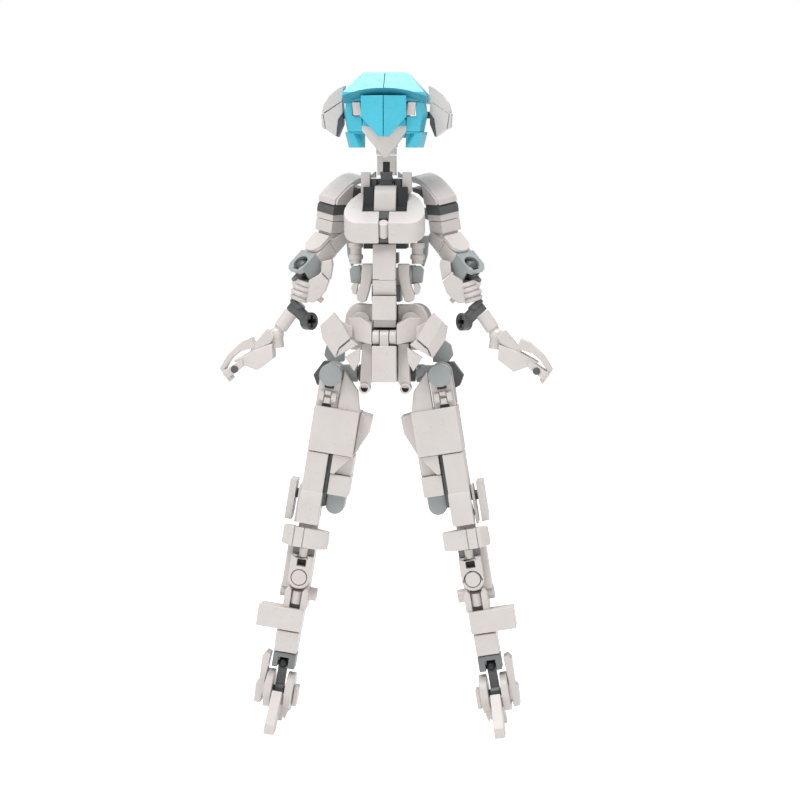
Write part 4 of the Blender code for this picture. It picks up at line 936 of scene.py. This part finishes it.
def make_feet():
    for mark in ("l", "r"):
        keep("ankle_socket_" + mark, MIDDLE, 0.3)
        keep("ankle_link_" + mark, DARK)
    z = FOOT_AXLE_Z
    # Near-black ball as painted shade in the ankle socket
    pair("ankle_ball", "ankle", ball((5.2, -1.5, -84.2), 1.75), PAINTED_SHADE, LEG, 0)
    ring = [cylinder((0.2, 0, z), (1.0, 0, z), 3.1)]
    disc = cylinder((0.1, 0, z), (2.9, 0, z), FOOT_DISC_R, sides=64)
    pair("foot_disc_in", "foot", disc, WHITE, LEG, 0.35, cut=ring)
    disc = cylinder((7.5, 0, z), (10.1, 0, z), FOOT_DISC_R, sides=64)
    pair("foot_disc_out", "foot", disc, WHITE, LEG, 0.35)
    pair("foot_hub_out", "foot", cylinder((10.1, 0, z), (10.9, 0, z), 4.2), WHITE, LEG, 0.3)
    pair("foot_axle", "foot", cylinder((-0.9, 0, z), (9.6, 0, z), 1.3), DARK, LEG, 0.15)
    pair("foot_plate", "foot", cube((-1.7, -3.4, z - 4.6), (-0.1, 3.4, z + 2.4)), WHITE, LEG, 0.4)
    toe = [(-15.3, -104.0), (-15.5, SOLE_Z), (-8.8, SOLE_Z), (-3.2, -96.6), (-6.6, -93.4)]
    heel = [(3.2, -100.2), (5.2, -97.0), (13.2, -105.6), (13.4, SOLE_Z), (9.6, SOLE_Z)]
    ground = cube((-20, -40, -122), (30, 40, -107.3))
    pair("foot_toe", "foot", prism("YZ", toe, 3.5, 7.1), WHITE, LEG, 0.25, cut=[ground], replaces=("foot",))
    pair("foot_heel", "foot", prism("YZ", heel, 3.6, 6.9), WHITE, LEG, 0.25, cut=[ground.copy()])
    claw = [(1.2, -98.6), (3.1, -97.4), (3.1, -103.6), (2.2, -102.2), (1.6, -103.8), (0.8, -101.0)]
    pair("foot_claw", "foot", prism("XZ", claw, -4.4, 1.4), WHITE, LEG, 0.2)
    guard = [(10.9, -99.4), (13.3, -99.2), (13.6, -92.4), (12.6, -91.6), (12.8, -82.6)]
    guard += [(11.6, -80.8), (9.9, -81.4), (10.5, -91.0)]
    pair("foot_guard", "foot", prism("XZ", guard, -3.7, 3.7), WHITE, LEG, 0.3)


# Studio


def shine(tree, strength_input, lights, shows):
    """A strength that differs between what a surface lights and what the camera sees of it."""
    seen = tree.nodes.new("ShaderNodeLightPath").outputs["Is Camera Ray"]
    strength = tree.nodes.new("ShaderNodeMapRange")
    strength.inputs["To Min"].default_value = lights
    strength.inputs["To Max"].default_value = shows
    tree.links.new(seen, strength.inputs["Value"])
    tree.links.new(strength.outputs["Result"], strength_input)


def make_studio():
    low, high = CAD_BOX
    middle = (low + high) / 2
    bm = bmesh.new()
    bmesh.ops.create_grid(bm, x_segments=1, y_segments=1, size=FLOOR_HALF)
    mesh = bpy.data.meshes.new("floor")
    bm.to_mesh(mesh)
    bm.free()
    floor = add_object(mesh, "floor")
    floor.location = (0, 0, low.z - FLOOR_GAP)
    paint = bpy.data.materials.new("floor_paint")
    paint.use_nodes = True
    shader = paint.node_tree.nodes["Principled BSDF"]
    shader.inputs["Base Color"].default_value = (0.93, 0.93, 0.93, 1)
    shader.inputs["Roughness"].default_value = 0.7
    shader.inputs["Emission Color"].default_value = (1, 1, 1, 1)
    shine(paint.node_tree, shader.inputs["Emission Strength"], FLOOR_GLOW, FLOOR_SHOWS)
    floor.data.materials.append(paint)
    world = bpy.data.worlds.new("studio")
    bpy.context.scene.world = world
    world.use_nodes = True
    sky = world.node_tree.nodes["Background"]
    sky.inputs["Color"].default_value = (1.0, 1.0, 1.0, 1)
    shine(world.node_tree, sky.inputs["Strength"], SKY_LIGHT, BACKDROP)
    bpy.context.scene.view_settings.view_transform = "Standard"
    lights = (
        ("key", (-0.3, -0.5, 0.8), 0.4, 3.8),
        ("fill", (0.7, -0.7, 0.3), 0.6, 0.4),
        ("top", (0.0, -0.05, 0.85), 0.4, 4.0),
        ("rear", (0.2, 0.8, 0.5), 0.6, 1.5),
    )
    for name, place, size, power in lights:
        data = bpy.data.lights.new(name, "AREA")
        data.size = size
        data.energy = power
        light = bpy.data.objects.new(name, data)
        bpy.context.scene.collection.objects.link(light)
        light.location = middle + Vector(place)
        light.rotation_euler = (middle - light.location).to_track_quat("-Z", "Y").to_euler()


def make_camera():
    """A long lens in front of the figure, a little to its left and a little above its middle."""
    low, high = CAD_BOX
    height = high.z - low.z
    target = Vector((height * TARGET_RIGHT, 0, low.z + height * TARGET_UP))
    azimuth = math.radians(CAMERA_AZIMUTH)
    elevation = math.radians(CAMERA_ELEVATION)
    back = Vector(
        (
            math.sin(azimuth) * math.cos(elevation),
            -math.cos(azimuth) * math.cos(elevation),
            math.sin(elevation),
        )
    )
    data = bpy.data.cameras.new("camera")
    data.lens = LENS
    data.sensor_width = SENSOR
    width = height * VIEW_WIDTH
    distance = width * data.lens / data.sensor_width
    camera = bpy.data.objects.new("camera", data)
    bpy.context.scene.collection.objects.link(camera)
    camera.location = target + back * distance
    camera.rotation_euler = (-back).to_track_quat("-Z", "Y").to_euler()
    bpy.context.scene.camera = camera


make_camera()
make_studio()
make_hair()
make_face()
make_ear_pods()
make_neck()
make_chest()
make_breasts()
make_collar()
make_ribs()
make_waist()
make_pelvis()
make_flap()
make_hip_arches()
make_side_armour()
make_shoulders()
make_upper_arms()
make_elbows()
make_forearms()
make_connectors()
make_hands()
make_hips()
make_thighs()
make_shins()
make_feet()
